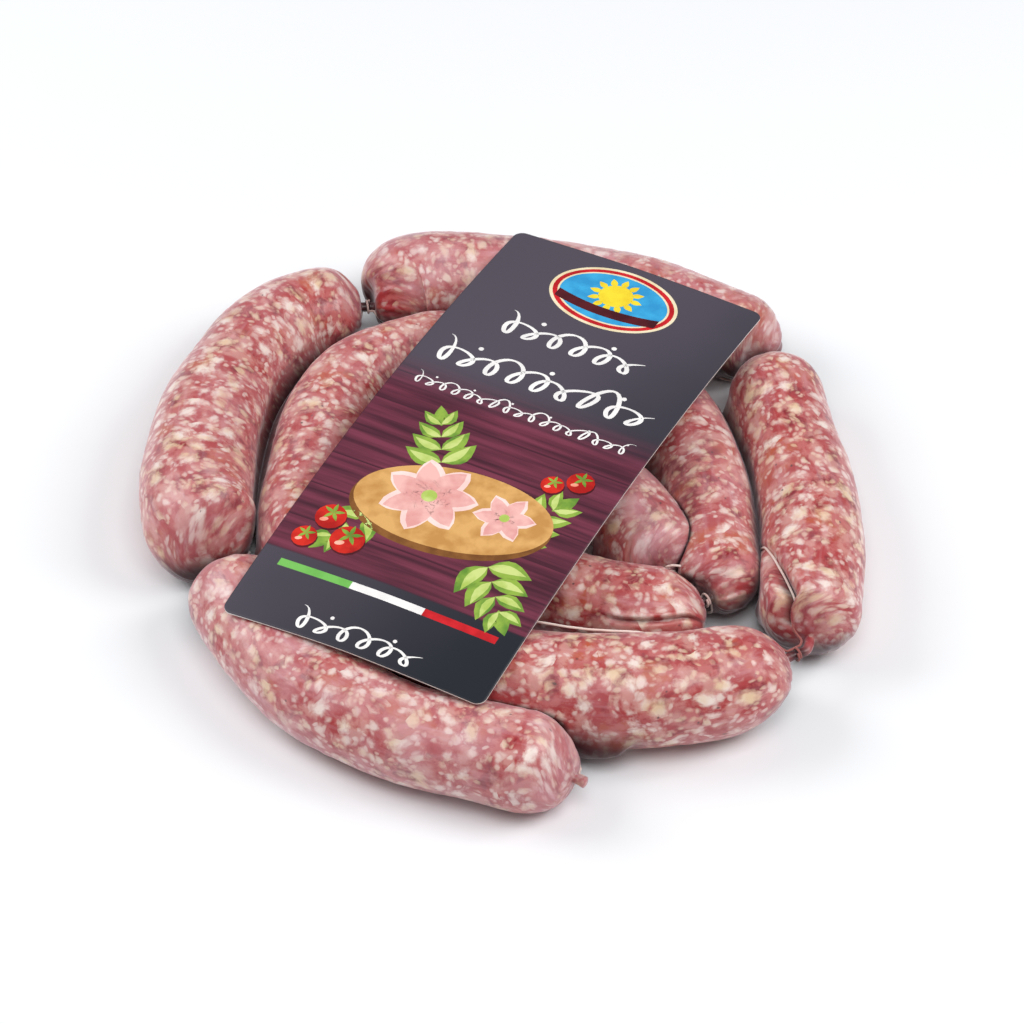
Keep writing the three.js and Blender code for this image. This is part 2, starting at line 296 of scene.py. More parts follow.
LINKS = (
    Link(
        "link_front_left",
        ("outer_end", "front_left"),
        ((3.9, -114.4), (-32.1, -102.3), (-65.9, -78.4), (-83.1, -50.4)),
        (16.4, 16.4),
        (1.1, 1.0),
        grain=Grain.HAZY,
    ),
    Link(
        "link_left",
        ("front_left", "back_left"),
        ((-101.1, -9.4), (-102.1, 18.6), (-96.6, 56.6), (-75.6, 93.6)),
        (19.2, 15.4),
        (0.85, 0.95),
        grain=Grain.STREAKED,
    ),
    Link(
        "link_back",
        ("back_left", "back_right"),
        ((-32.1, 113.1), (2.9, 114.1), (39.9, 107.1), (75.9, 90.6)),
        (16.8, 15.8),
        (0.95, 0.85),
        grain=Grain.HAZY,
    ),
    Link(
        "link_right",
        ("back_right", "front_right"),
        ((95.9, 51.6), (102.4, 15.6), (104.7, -20.4), (102.4, -46.4)),
        (15.8, 17.0),
        (1.25, 0.85),
        necks=(2.4, 9),
    ),
    Link(
        "link_front_right",
        ("front_right", "inner_front"),
        ((70.9, -82.9), (43.9, -86.4), (8.9, -83.4), (-25.1, -68.4)),
        (18.8, 17.4),
        (1.5, 1.2),
        necks=(5, 2.4),
    ),
    Link(
        "link_inner_left",
        ("inner_front", "inner_back"),
        ((-64.1, -18.4), (-63.1, 23.6), (-51.1, 60.6), (-24.1, 77.6)),
        (15.6, 15.4),
        (1.2, 1.3),
        grain=Grain.STREAKED,
    ),
    Link(
        "link_inner_right",
        ("inner_back", "core_right"),
        ((23.9, 76.6), (51.9, 55.6), (67.9, 22.6), (71.7, -17.4)),
        (15.2, 13.8),
        (1.3, 0.95),
        grain=Grain.STREAKED,
    ),
    Link(
        "link_core_front",
        ("core_right", "core_left"),
        ((53.9, -47.9), (18.9, -38.1), (-12.1, -22.4)),
        (15.0, 14.6),
        (1.0, 1.2),
    ),
    Link(
        "link_core",
        ("core_left", "inner_end"),
        ((-20.1, 28.6), (7.9, 29.6), (32.6, 10.6), (48.4, -12.6)),
        (14.3, 15.2),
        (1.35, 0.65),
        # Painted light: paler, to make up for the card's shade on this link
        grain=Grain.PALE,
    ),
)

# Twine along the links, as (distance from the last tie, angle in degrees, height over the skin).
# Angle 0 is the left side in the direction of the string, 90 the top and 180 the inner side.
UNDER = ((0, 229, 0), (200, 229, 0))
TURN = ((0, 150, 0), (3, 152, 0.4), (4.6, 170, 0.7), (7, 216, 1), (11, 229, 0), (200, 229, 0))
ACROSS = (
    (0, 100, 0),
    (9, 105, 1.0),
    (14, 111, 1.6),
    (24, 126, 1.2),
    (36, 144, 0.4),
    (47, 164, 0),
    (57, 200, 0),
    (69, 225, 0),
    (200, 229, 0),
)
OVER = ((0, 150, 0), (40, 140, 1.5), (70, 138, 2.2), (98, 140, 0.2), (118, 165, 0), (200, 180, 0))
CORE = (
    (0, 229, 0),
    (100, 229, 0),
    (112, 226, 1.6),
    (132.8, 222, 1.5),
    (134.6, 229, 0),
    (200, 229, 0),
)
TWINE_ROUTES = (TURN, UNDER, UNDER, ACROSS, OVER, UNDER, UNDER, UNDER, CORE)


# The form of a link


class Route:
    """A smooth flat line through given points, measured by its length."""

    DIVISIONS = 40
    # Half the length, in millimetres, over which the direction is measured
    PROBE = 0.4

    def __init__(self, points: list[np.ndarray]) -> None:
        """Runs a centripetal Catmull-Rom curve through the points."""
        ends = [2 * points[0] - points[1], *points, 2 * points[-1] - points[-2]]
        dense = []
        for a, b, c, d in zip(ends, ends[1:], ends[2:], ends[3:]):
            steps = np.linspace(0, 1, self.DIVISIONS, endpoint=False)
            dense += [self.on_span(a, b, c, d, t) for t in steps]
        self.points = np.array([*dense, points[-1]])
        spans = np.linalg.norm(np.diff(self.points, axis=0), axis=1)
        self.marks = np.concatenate([[0], np.cumsum(spans)])
        self.length = float(self.marks[-1])

    @staticmethod
    def on_span(a: np.ndarray, b: np.ndarray, c: np.ndarray, d: np.ndarray, t: float) -> np.ndarray:
        """Gives the point at share t of the span from b to c."""
        sides = ((a, b), (b, c), (c, d))
        before, span, after = (max(float(np.linalg.norm(q - p)) ** 0.5, 1e-4) for p, q in sides)
        out = ((b - a) / before - (c - a) / (before + span) + (c - b) / span) * span
        into = ((c - b) / span - (d - b) / (span + after) + (d - c) / after) * span
        cubic = 2 * b - 2 * c + out + into
        square = -3 * b + 3 * c - 2 * out - into
        return b + out * t + square * t**2 + cubic * t**3

    def at(self, s: np.ndarray) -> np.ndarray:
        """Gives the places at distances s from the start, as x and y."""
        return np.stack([np.interp(s, self.marks, self.points[:, i]) for i in (0, 1)], axis=-1)

    def along(self, s: np.ndarray) -> np.ndarray:
        """Gives the unit direction at distances s."""
        ahead, behind = np.minimum(s + self.PROBE, self.length), np.maximum(s - self.PROBE, 0.0)
        step = self.at(ahead) - self.at(behind)
        return step / np.linalg.norm(step, axis=-1, keepdims=True)


@dataclass
class LinkForm:
    """The surface of one link, worked out in millimetres from its sizes.

    Distances run along the link's axis from the middle of its first tie.
    """

    # A power that no place near a link has, in square millimetres
    FAR: ClassVar[float] = 1e4

    link: Link
    number: int
    # The neck, how far short of the tie it ends, and how far it keeps the tie's heading
    neck_radius: float = 1.6
    neck_end_gap: float = 0.2
    tie_reach: float = 3.9
    # How the meat spreads under its own weight
    width_factor: float = 1.025
    height_factor: float = 0.965
    settle: float = 0.8
    # The loose tail of casing past the first and the last tie
    tail_length: float = 1.8
    tail_radius: float = 1.9
    # Distances past a neck over which the axis goes from the tie's height to the meat's own
    axis_fall: Pair = (-1.4, 13)
    # Pressing: distance between the balls, the share left free between two links in square
    # millimetres, and how often the way to the free place is halved
    ball_step: float = 1.5
    press_margin: float = 5.0
    press_halvings: int = 12
    # Slow swellings: their share of the girth, their lengths, and where they fade at the ends
    lump: float = 0.022
    lump_spans: Pair = (11.0, 6.3)
    lump_fade: float = 12.0
    # Knobs of mince: heights of broad and small ones, the girth that carries their waves, and
    # where they fade at the ends
    knobs: Pair = (0.16, 0.07)
    knob_girth: float = 15.0
    knob_fade: float = 8.0
    # Pleats at the gathered ends: how many coarse and fine ones, their shares of the depth, how
    # far they reach, over which rise of the neck they set in, and their twist in radians
    pleats: tuple[int, int] = (9, 17)
    pleat_shares: Pair = (0.6, 0.4)
    pleat_depth: float = 0.42
    pleat_reach: float = 12.0
    pleat_rise: float = 4.0
    pleat_twist: float = 0.8
    # Painted shade in the clefts: gaps from touching to open, narrow gaps low down, and deep
    # creases
    touching: Pair = (0.1, 1.5)
    painted_shade_gap: Pair = (6.0, 20.0)
    painted_shade_height: Pair = (10.0, 19.0)
    crease_painted_shade: Pair = (1.6, 4.2)
    crease_share: float = 0.9
    # Sagging flanks: how far at most and as a share of the gap, and over which gaps, heights
    # and distances past the necks it sets in
    sag: float = 6.5
    sag_share: float = 0.62
    sag_reach: Pair = (8.0, 12.5)
    sag_height: Pair = (8.0, 16.0)
    sag_past: Pair = (10.0, 20.0)
    route: Route = field(init=False)
    balls: tuple[np.ndarray, np.ndarray] = field(init=False)

    def __post_init__(self) -> None:
        """Lays the route and fills the meat with balls."""
        start, end = (TIES[name] for name in self.link.ties)
        points = [np.array(start.at), self.beside(start, self.tie_reach)]
        points += [np.array(point) for point in self.link.via]
        points += [self.beside(end, -self.tie_reach), np.array(end.at)]
        self.route = Route(points)
        self.length = self.route.length
        self.heights = (start.height, end.height)
        self.balls = self.meat_balls()

    @staticmethod
    def beside(tie: Tie, reach: float) -> np.ndarray:
        """Gives the point a little before or past a tie along its heading."""
        return turned(tie.at, reach, 0.0, tie.heading)

    def past(self, s: np.ndarray) -> np.ndarray:
        """Gives the distance past the nearer neck."""
        first, last = self.link.necks
        return np.minimum(s - first, self.length - s - last)

    def girth(self, s: np.ndarray) -> np.ndarray:
        """Gives the radius that the meat would have with no rounded ends."""
        return mix(*self.link.girth, smoothstep(s / self.length, 0.1, 0.9))

    def radius(self, s: np.ndarray) -> np.ndarray:
        """Gives the radius with both rounded ends."""
        shares = []
        for end, past in enumerate((s, self.length - s)):
            shoulder = self.link.girth[end] * self.link.shoulder[end]
            x = np.clip((past - self.link.necks[end]) / shoulder, 0, 1)
            shares.append(np.sqrt(1 - (1 - x) ** 2))
        return mix(self.neck_radius, self.girth(s), np.minimum(*shares))

    def axis(self, s: np.ndarray) -> np.ndarray:
        """Gives the axis, which lies low in the meat and rises to the ties."""
        lying = self.girth(s) * self.height_factor - self.settle
        tied = np.where(s < self.length / 2, *self.heights)
        height = mix(tied, lying, smoothstep(self.past(s), *self.axis_fall))
        return np.concatenate([self.route.at(s), height[..., None]], axis=-1)

    def meat_balls(self) -> tuple[np.ndarray, np.ndarray]:
        """Gives the middles and radii of balls that fill the meat."""
        count = math.ceil(self.length / self.ball_step)
        s = np.arange(1, count) / count * self.length
        nearest = np.minimum(s, self.length - s)
        return self.axis(s), np.minimum(self.radius(s), nearest)

    def power(self, places: np.ndarray) -> np.ndarray:
        """Gives how far places are outside the meat, as squared distance less squared radius."""
        middles, radii = self.balls
        least = np.full(len(places), np.inf)
        for middle, radius in zip(middles, radii):
            offset = places - middle
            least = np.minimum(least, np.einsum("ij,ij->i", offset, offset) - radius**2)
        return least

    def near(self, places: np.ndarray, room: float = 1.0) -> np.ndarray:
        """Tells which places are in the box round the meat, with some room."""
        middles, radii = self.balls
        reach = radii.max() + room
        return ((places > middles.min(0) - reach) & (places < middles.max(0) + reach)).all(1)

    def lumps(self, s: np.ndarray, angle: np.ndarray) -> np.ndarray:
        """Gives slow swellings of the girth, which the number shifts from link to link."""
        n = self.number
        long, short = self.lump_spans
        slow = np.sin(s / long + 2.1 * n + 0.8 * np.cos(angle))
        quick = np.sin(s / short + 1.3 * n + 1.7 * np.sin(angle))
        return self.lump * (slow + 0.6 * quick) * smoothstep(self.past(s), 0, self.lump_fade)

    def dimples(self, s: np.ndarray, angle: np.ndarray) -> np.ndarray:
        """Gives the shallow knobs, in millimetres, that coarse mince raises in the casing.

        Args:
            s: Distances along the axis.
            angle: Angles round it.

        Returns:
            Their heights, from waves a few millimetres long that cross and bend each other.
        """
        n = self.number
        x, y = self.knob_girth * np.cos(angle), self.knob_girth * np.sin(angle)
        wander = 1.3 * np.sin(s / 4.1 + y / 5.3 + n)
        broad = np.sin(s / 2.3 + wander + 0.9 * n) * np.sin(x / 2.6 + wander)
        broad = broad * np.cos(y / 2.9 + s / 7)
        small = np.sin(s / 1.15 + 2 * wander) * np.sin((x - y) / 1.5 + n) * np.cos((x + y) / 1.7)
        heights = self.knobs[0] * broad + self.knobs[1] * small
        return heights * smoothstep(self.past(s), 0, self.knob_fade)

    def crease(self, s: np.ndarray, angle: np.ndarray) -> np.ndarray:
        """Gives the depth of the crease in the casing, where this link has one."""
        return np.zeros_like(s)

    def gathered(self, s: np.ndarray) -> np.ndarray:
        """Gives how much the casing is gathered at distances s."""
        return 1 - smoothstep(self.past(s), 0, self.pleat_reach)

    def free(self, s: np.ndarray, angle: np.ndarray, over: Amount = 0.0) -> np.ndarray:
        """Gives points on the skin before neighbours press on it.

        Args:
            s: Distances along the axis.
            angle: Angles round it, in radians.
            over: Heights off the skin, square to the profile.

        Returns:
            The places, one row each.
        """
        gathered = self.gathered(s)
        shoulder = np.clip((self.radius(s) - self.neck_radius) / self.pleat_rise, 0, 1)
        n, (coarse, fine) = self.number, self.pleats
        much, little = self.pleat_shares
        folds = much * np.sin(coarse * angle + 1.7 * n) + little * np.sin(fine * angle + n)
        slope = (self.radius(s + 0.1) - self.radius(s - 0.1)) / 0.2
        square = np.hypot(1, slope)
        bulge = self.radius(s) * (1 + self.lumps(s, angle)) + self.dimples(s, angle)
        bulge += self.pleat_depth * shoulder * gathered * folds - self.crease(s, angle)
        radius = bulge + over / square
        at = np.clip(s - over * slope / square, 0, self.length)
        turn = angle + self.pleat_twist * gathered**2 * np.where(s < self.length / 2, -1, 1)
        tangent = self.route.along(at)
        side = np.stack([-tangent[..., 1], tangent[..., 0], np.zeros(len(at))], axis=-1)
        across = side * (radius * self.width_factor * np.cos(turn))[:, None]
        return self.axis(at) + across + UP * (radius * self.height_factor * np.sin(turn))[:, None]

    def sagged(
        self, places: np.ndarray, s: np.ndarray, axis: np.ndarray, others: list["LinkForm"]
    ) -> np.ndarray:
        """Lets the soft lower flanks sag into the narrow gap to a neighbour.

        Args:
            places: Points on the free skin.
            s: Their distances along the axis.
            axis: The points of the axis that they belong to.
            others: The other links.

        Returns:
            The places, with those that face a close neighbour moved out.
        """
        apart = self.apart(places, others, self.sag_reach[1] + 1)
        share = 1 - smoothstep(apart, *self.sag_reach)
        share = share * (1 - smoothstep(places[:, 2], *self.sag_height))
        share = share * smoothstep(self.past(s), *self.sag_past)
        out = (places - axis)[:, :2]
        out = out / np.maximum(np.linalg.norm(out, axis=1, keepdims=True), 0.1)
        step = np.minimum(np.maximum(apart, 0) * self.sag_share, self.sag) * share
        return places + np.concatenate([out * step[:, None], np.zeros((len(s), 1))], axis=1)

    def apart(self, places: np.ndarray, others: list["LinkForm"], reach: float) -> np.ndarray:
        """Gives about how far places are from the nearest other link, up to a reach."""
        power = np.full(len(places), self.FAR)
        for other in others:
            near = np.flatnonzero(other.near(places, reach))
            if len(near):
                power[near] = np.minimum(power[near], other.power(places[near]))
        girth = float(np.mean(self.link.girth))
        return np.sqrt(np.maximum(power, 1 - girth**2) + girth**2) - girth

    def pressed(self, places: np.ndarray, s: np.ndarray, others: list["LinkForm"]) -> np.ndarray:
        """Lets the skin give way to neighbours, each as far as the plane between them.

        Args:
            places: Points on the free skin.
            s: Their distances along the axis.
            others: The other links.

        Returns:
            The places, with those in a neighbour's half moved back towards the axis.
        """
        axis = self.axis(s)
        places = self.sagged(places, s, axis, others)
        for other in others:
            near = np.flatnonzero(other.near(places))
            over = near[self.power(places[near]) + self.press_margin >= other.power(places[near])]
            if not len(over):
                continue
            inside, outside = axis[over], places[over]
            for _ in range(self.press_halvings):
                middle = (inside + outside) / 2
                clear = (self.power(middle) + self.press_margin < other.power(middle))[:, None]
                inside, outside = np.where(clear, middle, inside), np.where(clear, outside, middle)
            places[over] = inside
        places[:, 2] = np.maximum(places[:, 2], 0)
        return places

    def painted_shade(
        self, places: np.ndarray, s: np.ndarray, angle: np.ndarray, others: list["LinkForm"]
    ) -> np.ndarray:
        """Tells how deep in painted shade places lie: where links touch, in narrow gaps low down
        and in deep creases.

        Args:
            places: Points on the skin.
            s: Their distances along the axis.
            angle: Their angles round it.
            others: The other links.

        Returns:
            From 0 in the open to 1 in the darkest painted shade, one value for each place.
        """
        # Painted shade: darkest where links touch, low in narrow gaps and in deep creases
        apart = self.apart(places, others, self.painted_shade_gap[1])
        touching = 1 - smoothstep(apart, *self.touching)
        low = 1 - smoothstep(places[:, 2], *self.painted_shade_height)
        low = low * (1 - smoothstep(apart, *self.painted_shade_gap))
        shallow, deep = self.crease_painted_shade
        folded = np.clip((self.crease(s, angle) - shallow) / (deep - shallow), 0, 1)
        folded = self.crease_share * folded
        return np.maximum(np.maximum(touching, low), folded)


@dataclass
class TiedAcrossForm(LinkForm):
    """A link that the twine cuts a deep crease into, along its way across it."""

    depth: tuple[Pair, ...] = ((0, 7.0), (22, 6.5), (32, 2.6), (48, 1), (62, 0))
    half_width: float = 1.9
    # The meat swells beside the crease: its share of the depth, its place and its width there
    swell: float = 0.3
    swell_place: float = 3.2
    swell_width: float = 1.7
    fade: float = 5.0

    def crease(self, s: np.ndarray, angle: np.ndarray) -> np.ndarray:
        """Gives the depth of the crease, which turns negative where the meat swells beside it."""
        back = self.length - s
        middle = np.radians(np.interp(back, *np.array(ACROSS).T[:2]))
        across = (angle - middle) * self.radius(s) / self.half_width
        depth = np.interp(back, *np.array(self.depth).T) * smoothstep(self.past(s), 0, self.fade)
        beside = np.exp(-(((np.abs(across) - self.swell_place) / self.swell_width) ** 2))
        return depth * (np.exp(-(across**2)) - self.swell * beside)


@dataclass
class FoldedForm(LinkForm):
    """A link whose slack casing lies in one lengthwise fold on its outer side, with a lip."""

    middle: float = 34.0
    stretch: tuple[float, float, float, float] = (5.0, 11.0, 26.0, 34.0)
    depth: float = 1.5
    half_width: float = 0.9
    # The fold wanders by so many degrees over so many millimetres
    wander: Pair = (4.0, 6.0)
    # The lip's share of the depth, and its place in half widths
    lip: Pair = (0.5, 2.0)
    # Fold depths over which the painted shade in the fold sets in, from none to full
    crease_painted_shade: Pair = (0.4, 2.2)

    def crease(self, s: np.ndarray, angle: np.ndarray) -> np.ndarray:
        """Gives the depth of the fold, which turns negative along its lip."""
        begin, full, fade, end = self.stretch
        wander = self.wander[0] * np.sin(s / self.wander[1])
        across = (angle - np.radians(self.middle + wander)) * self.radius(s) / self.half_width
        share = smoothstep(s, begin, full) * (1 - smoothstep(s, fade, end))
        lip = self.lip[0] * np.exp(-((across - self.lip[1]) ** 2))
        return self.depth * share * (np.exp(-(across**2)) - lip)


# Finishes


@dataclass(frozen=True)
class PorkInCasing:
    """Coarse raw pork mince behind a moist natural casing.

    The eye sees rose lean and cream fat in soft lumps of a few millimetres, drawn out into
    streaks where the mince was forced along, fine pale sinew, ground pepper, and over it all
    the thin milky casing, which shines softly and turns pale at glancing angles.
    """

    grain: Grain
    deep_lean: str = "#841724"
    lean: str = "#A93537"
    spiced_lean: str = "#BE6034"
    pink: str = "#BC6360"
    pale_pink: str = "#CF958C"
    fat: str = "#F1E4DA"
    warm_fat: str = "#E5C9A4"
    casing: str = "#DDB9C1"
    # Colour of the painted shade in the clefts between links and in deep creases
    painted_shade: str = "#2A0A14"
    pepper: str = "#3B2A28"
    # Two noises bend the mince: the size of each and how far it moves things, in millimetres,
    # and its detail
    swirl: Triple = (12.0, 6.0, 2.0)
    ruffle: Triple = (3.4, 1.2, 2.5)
    # Cell size of each kind of fat lump in millimetres, its radius as a share of the cell, and
    # the share of the cells that stay empty
    big_lumps: Triple = (6.6, 0.34, 0.50)
    small_lumps: Triple = (4.0, 0.36, 0.45)
    crumbs: Triple = (2.2, 0.38, 0.45)
    # The lumps' ragged edge: its grain in millimetres, its reach and its softness in and out,
    # both as shares of the cell
    ragged_grain: float = 1.5
    ragged_reach: float = 0.55
    soft_edge: Pair = (0.2, 0.22)
    # How milky the largest lumps are, and how much less each smaller kind is
    fat_cover: Pair = (0.9, 0.17)
    # Cells of the pepper in millimetres, and a grain's radius in them, sharp to soft
    pepper_cell: float = 6.0
    pepper_grain: Pair = (0.04, 0.09)
    # How much the gathered ends darken, and how dark the painted shade in the clefts is
    gather_dark: float = 0.35
    painted_shade_dark: float = 0.93
    # The skin's fine relief: its size in millimetres, its strength and its height
    grit: Triple = (2.4, 0.45, 0.38)
    roughness: float = 0.36
    coat: float = 0.25
    sheen: float = 0.4

    def material(self) -> bpy.types.Material:
        """Builds the node material.

        Returns:
            The material, which reads the point attributes mince, gather and the one that holds the
            painted shade of the clefts.
        """
        made, add = bare_material(f"raw_pork_in_casing_{self.grain.name.lower()}")
        lengthwise, crosswise, haze = self.grain.value
        mince = add("ShaderNodeAttribute", attribute_name="mince").outputs["Vector"]
        stretch = (lengthwise, crosswise, crosswise)
        drawn = add("ShaderNodeMapping", {"Vector": mince, "Scale": stretch})
        bent = [drawn]
        for size, reach, detail in (self.swirl, self.ruffle):
            noise = add(
                "ShaderNodeTexNoise",
                {"Vector": bent[-1], "Scale": 1 / (size * MM), "Detail": detail},
            )
            moved = {0: noise.outputs["Color"], 1: [reach * MM] * 3, 2: bent[-1]}
            bent.append(add("ShaderNodeVectorMath", moved, operation="MULTIPLY_ADD"))
        swirled, place = bent[1:]

        body = self.lean_colour(add, swirled, place)
        fat, mask = self.fat_layers(add, place)
        skin = add(
            "ShaderNodeMix", {SHARE: mask, UNDER_COLOUR: body, OVER_COLOUR: fat}, data_type="RGBA"
        )
        skin = self.peppered(add, swirled, skin)
        skin, film = self.under_casing(add, mince, skin, haze)

        size, strength, rise = self.grit
        grit = add(
            "ShaderNodeTexNoise", {"Vector": place, "Scale": 1 / (size * MM), "Detail": 4.0}
        )
        relief = add(
            "ShaderNodeBump", {"Strength": strength, "Distance": rise * MM, "Height": grit}
        )
        shine = add(
            "ShaderNodeMapRange",
            {
                "Value": film,
                "From Min": 0.3,
                "From Max": 0.7,
                "To Min": self.roughness - 0.08,
                "To Max": self.roughness + 0.1,
            },
        )
        surface = add(
            "ShaderNodeBsdfPrincipled",
            {
                "Base Color": skin,
                "Roughness": shine,
                "IOR": 1.4,
                "Subsurface Weight": 0.12,
                "Subsurface Radius": (1.0, 0.35, 0.25),
                "Subsurface Scale": 1.2 * MM,
                "Coat Weight": self.coat,
                "Coat Roughness": 0.22,
                "Sheen Weight": self.sheen,
                "Sheen Roughness": 0.35,
                "Sheen Tint": linear("#FFE9F2"),
                "Normal": relief,
            },
        )
        add("ShaderNodeOutputMaterial", {0: surface})
        return made

    def lean_colour(self, add: Adder, swirled: Node, place: Node) -> Node:
        """Mixes the colours of the lean: deep red patches, rose, pink smears and spice.

        Args:
            add: Adds a node to the material.
            swirled: Coordinates bent on a large scale.
            place: Coordinates bent on a small scale too.

        Returns:
            The node that gives the colour.
        """
        # Each layer: its coordinates, size in millimetres, detail and roughness of its noise,
        # the values between which it sets in, its share at most and its colour
        layers = (
            (place, 9, 3.0, 0.5, 0.50, 0.62, 1.0, self.deep_lean),
            (place, 17, 4.0, 0.5, 0.54, 0.66, 0.65, self.spiced_lean),
            (place, 5.2, 6.0, 0.62, 0.44, 0.60, 0.95, self.pink),
            (swirled, 7, 5.0, 0.5, 0.50, 0.64, 0.75, self.pale_pink),
        )
        colour: object = linear(self.lean)
        for where, size, detail, rough, low, high, most, tint in layers:
            pattern = add(
                "ShaderNodeTexNoise",
                {"Vector": where, "Scale": 1 / (size * MM), "Detail": detail, "Roughness": rough},
            )
            share = add(
                "ShaderNodeMapRange",
                {"Value": pattern, "From Min": low, "From Max": high, "To Max": most},
                interpolation_type="SMOOTHSTEP",
            )
            colour = add(
                "ShaderNodeMix",
                {SHARE: share, UNDER_COLOUR: colour, OVER_COLOUR: linear(tint)},
                data_type="RGBA",
            )
        return colour

    def fat_layers(self, add: Adder, place: Node) -> tuple[Node, Node]:
        """Scatters soft lumps of fat in three sizes.

        Args:
            add: Adds a node to the material.
            place: Bent coordinates.

        Returns:
            The nodes that give the fat's colour and how much of it there is.
        """
        grain = 1 / (self.ragged_grain * MM)
        ragged = add("ShaderNodeTexNoise", {"Vector": place, "Scale": grain, "Detail": 3.0})
        mask: object = 0.0
        sizes = (self.big_lumps, self.small_lumps, self.crumbs)
        for number, (cell, radius, empty) in enumerate(sizes):
            lump = add(
                "ShaderNodeTexVoronoi",
                {"Vector": place, "Scale": 1 / (cell * MM), "Smoothness": 0.35},
                feature="SMOOTH_F1",
            )
            pick = add("ShaderNodeSeparateColor", {0: lump.outputs["Color"]})
            chosen = add(
                "ShaderNodeMapRange",
                {"Value": pick.outputs[number], "From Min": empty, "From Max": empty + 0.12},
                interpolation_type="SMOOTHSTEP",
            )
            edge = add(
                "ShaderNodeMath",
                {0: ragged, 1: self.ragged_reach, 2: lump.outputs["Distance"]},
                operation="MULTIPLY_ADD",
            )
            edge = add("ShaderNodeMath", {0: edge, 1: self.ragged_reach / 2}, operation="SUBTRACT")
            inside = add(
                "ShaderNodeMapRange",
                {
                    "Value": edge,
                    "From Min": radius - self.soft_edge[0],
                    "From Max": radius + self.soft_edge[1],
                    "To Min": self.fat_cover[0] - self.fat_cover[1] * number,
                    "To Max": 0.0,
                },
                interpolation_type="SMOOTHSTEP",
            )
            here = add("ShaderNodeMath", {0: chosen, 1: inside}, operation="MULTIPLY")
            mask = add("ShaderNodeMath", {0: mask, 1: here}, operation="MAXIMUM")
        warmth = add("ShaderNodeTexNoise", {"Vector": place, "Scale": 1 / (9 * MM), "Detail": 3.0})
        warm = add("ShaderNodeMapRange", {"Value": warmth, "From Min": 0.44, "From Max": 0.62})
        fat = add(
            "ShaderNodeMix",
            {SHARE: warm, UNDER_COLOUR: linear(self.fat), OVER_COLOUR: linear(self.warm_fat)},
            data_type="RGBA",
        )
        return fat, mask

    def peppered(self, add: Adder, swirled: Node, skin: Node) -> Node:
        """Scatters grains of ground pepper, half a millimetre wide, in half of the cells.

        Args:
            add: Adds a node to the material.
            swirled: Bent coordinates.
            skin: The colour so far.

        Returns:
            The node that gives the colour with the pepper.
        """
        cells = 1 / (self.pepper_cell * MM)
        grains = add("ShaderNodeTexVoronoi", {"Vector": swirled, "Scale": cells})
        pick = add("ShaderNodeSeparateColor", {0: grains.outputs["Color"]})
        close = add(
            "ShaderNodeMapRange",
            {
                "Value": grains.outputs["Distance"],
                "From Min": self.pepper_grain[0],
                "From Max": self.pepper_grain[1],
                "To Min": 0.85,
                "To Max": 0.0,
            },
        )
        chosen = {"Value": pick.outputs[2], "From Min": 0.5, "From Max": 0.6}
        chosen = add("ShaderNodeMapRange", chosen)
        share = add("ShaderNodeMath", {0: close, 1: chosen}, operation="MULTIPLY")
        return add(
            "ShaderNodeMix",
            {SHARE: share, UNDER_COLOUR: skin, OVER_COLOUR: linear(self.pepper)},
            data_type="RGBA",
        )

    def under_casing(
        self, add: Adder, mince: bpy.types.NodeSocket, skin: Node, haze: float
    ) -> tuple[Node, Node]:
        """Lays the milky casing over the mince, darkens the gathered ends, and paints shade into
        the clefts.

        Args:
            add: Adds a node to the material.
            mince: Coordinates along and round the link.
            skin: The colour so far.
            haze: How milky the casing is at most.

        Returns:
            The node that gives the colour, and the noise of the casing's thickness.
        """
        darks = []
        for name, most in (("gather", self.gather_dark), ("painted_shade", self.painted_shade_dark)):
            painted = add("ShaderNodeAttribute", attribute_name=name).outputs["Fac"]
            darks.append(add("ShaderNodeMath", {0: painted, 1: most}, operation="MULTIPLY"))
        film = add("ShaderNodeTexNoise", {"Vector": mince, "Scale": 1 / (16 * MM), "Detail": 3.0})
        long = add("ShaderNodeMapping", {"Vector": mince, "Scale": (0.12, 1, 1)})
        fibres = add("ShaderNodeTexNoise", {"Vector": long, "Scale": 1 / (2.2 * MM), "Detail": 3.0})
        milky, fine = (
            add(
                "ShaderNodeMapRange",
                {"Value": pattern, "From Min": low, "From Max": 0.7, "To Max": most},
            )
            for pattern, low, most in ((film, 0.3, haze), (fibres, 0.52, 0.16))
        )
        share = add("ShaderNodeMath", {0: milky, 1: fine}, operation="ADD")
        # The last layer paints shade into the clefts and deep creases
        layers = ((darks[0], self.deep_lean), (share, self.casing), (darks[1], self.painted_shade))
        for layer, tint in layers:
            skin = add(
                "ShaderNodeMix",
                {SHARE: layer, UNDER_COLOUR: skin, OVER_COLOUR: linear(tint)},
                data_type="RGBA",
            )
        return skin, film


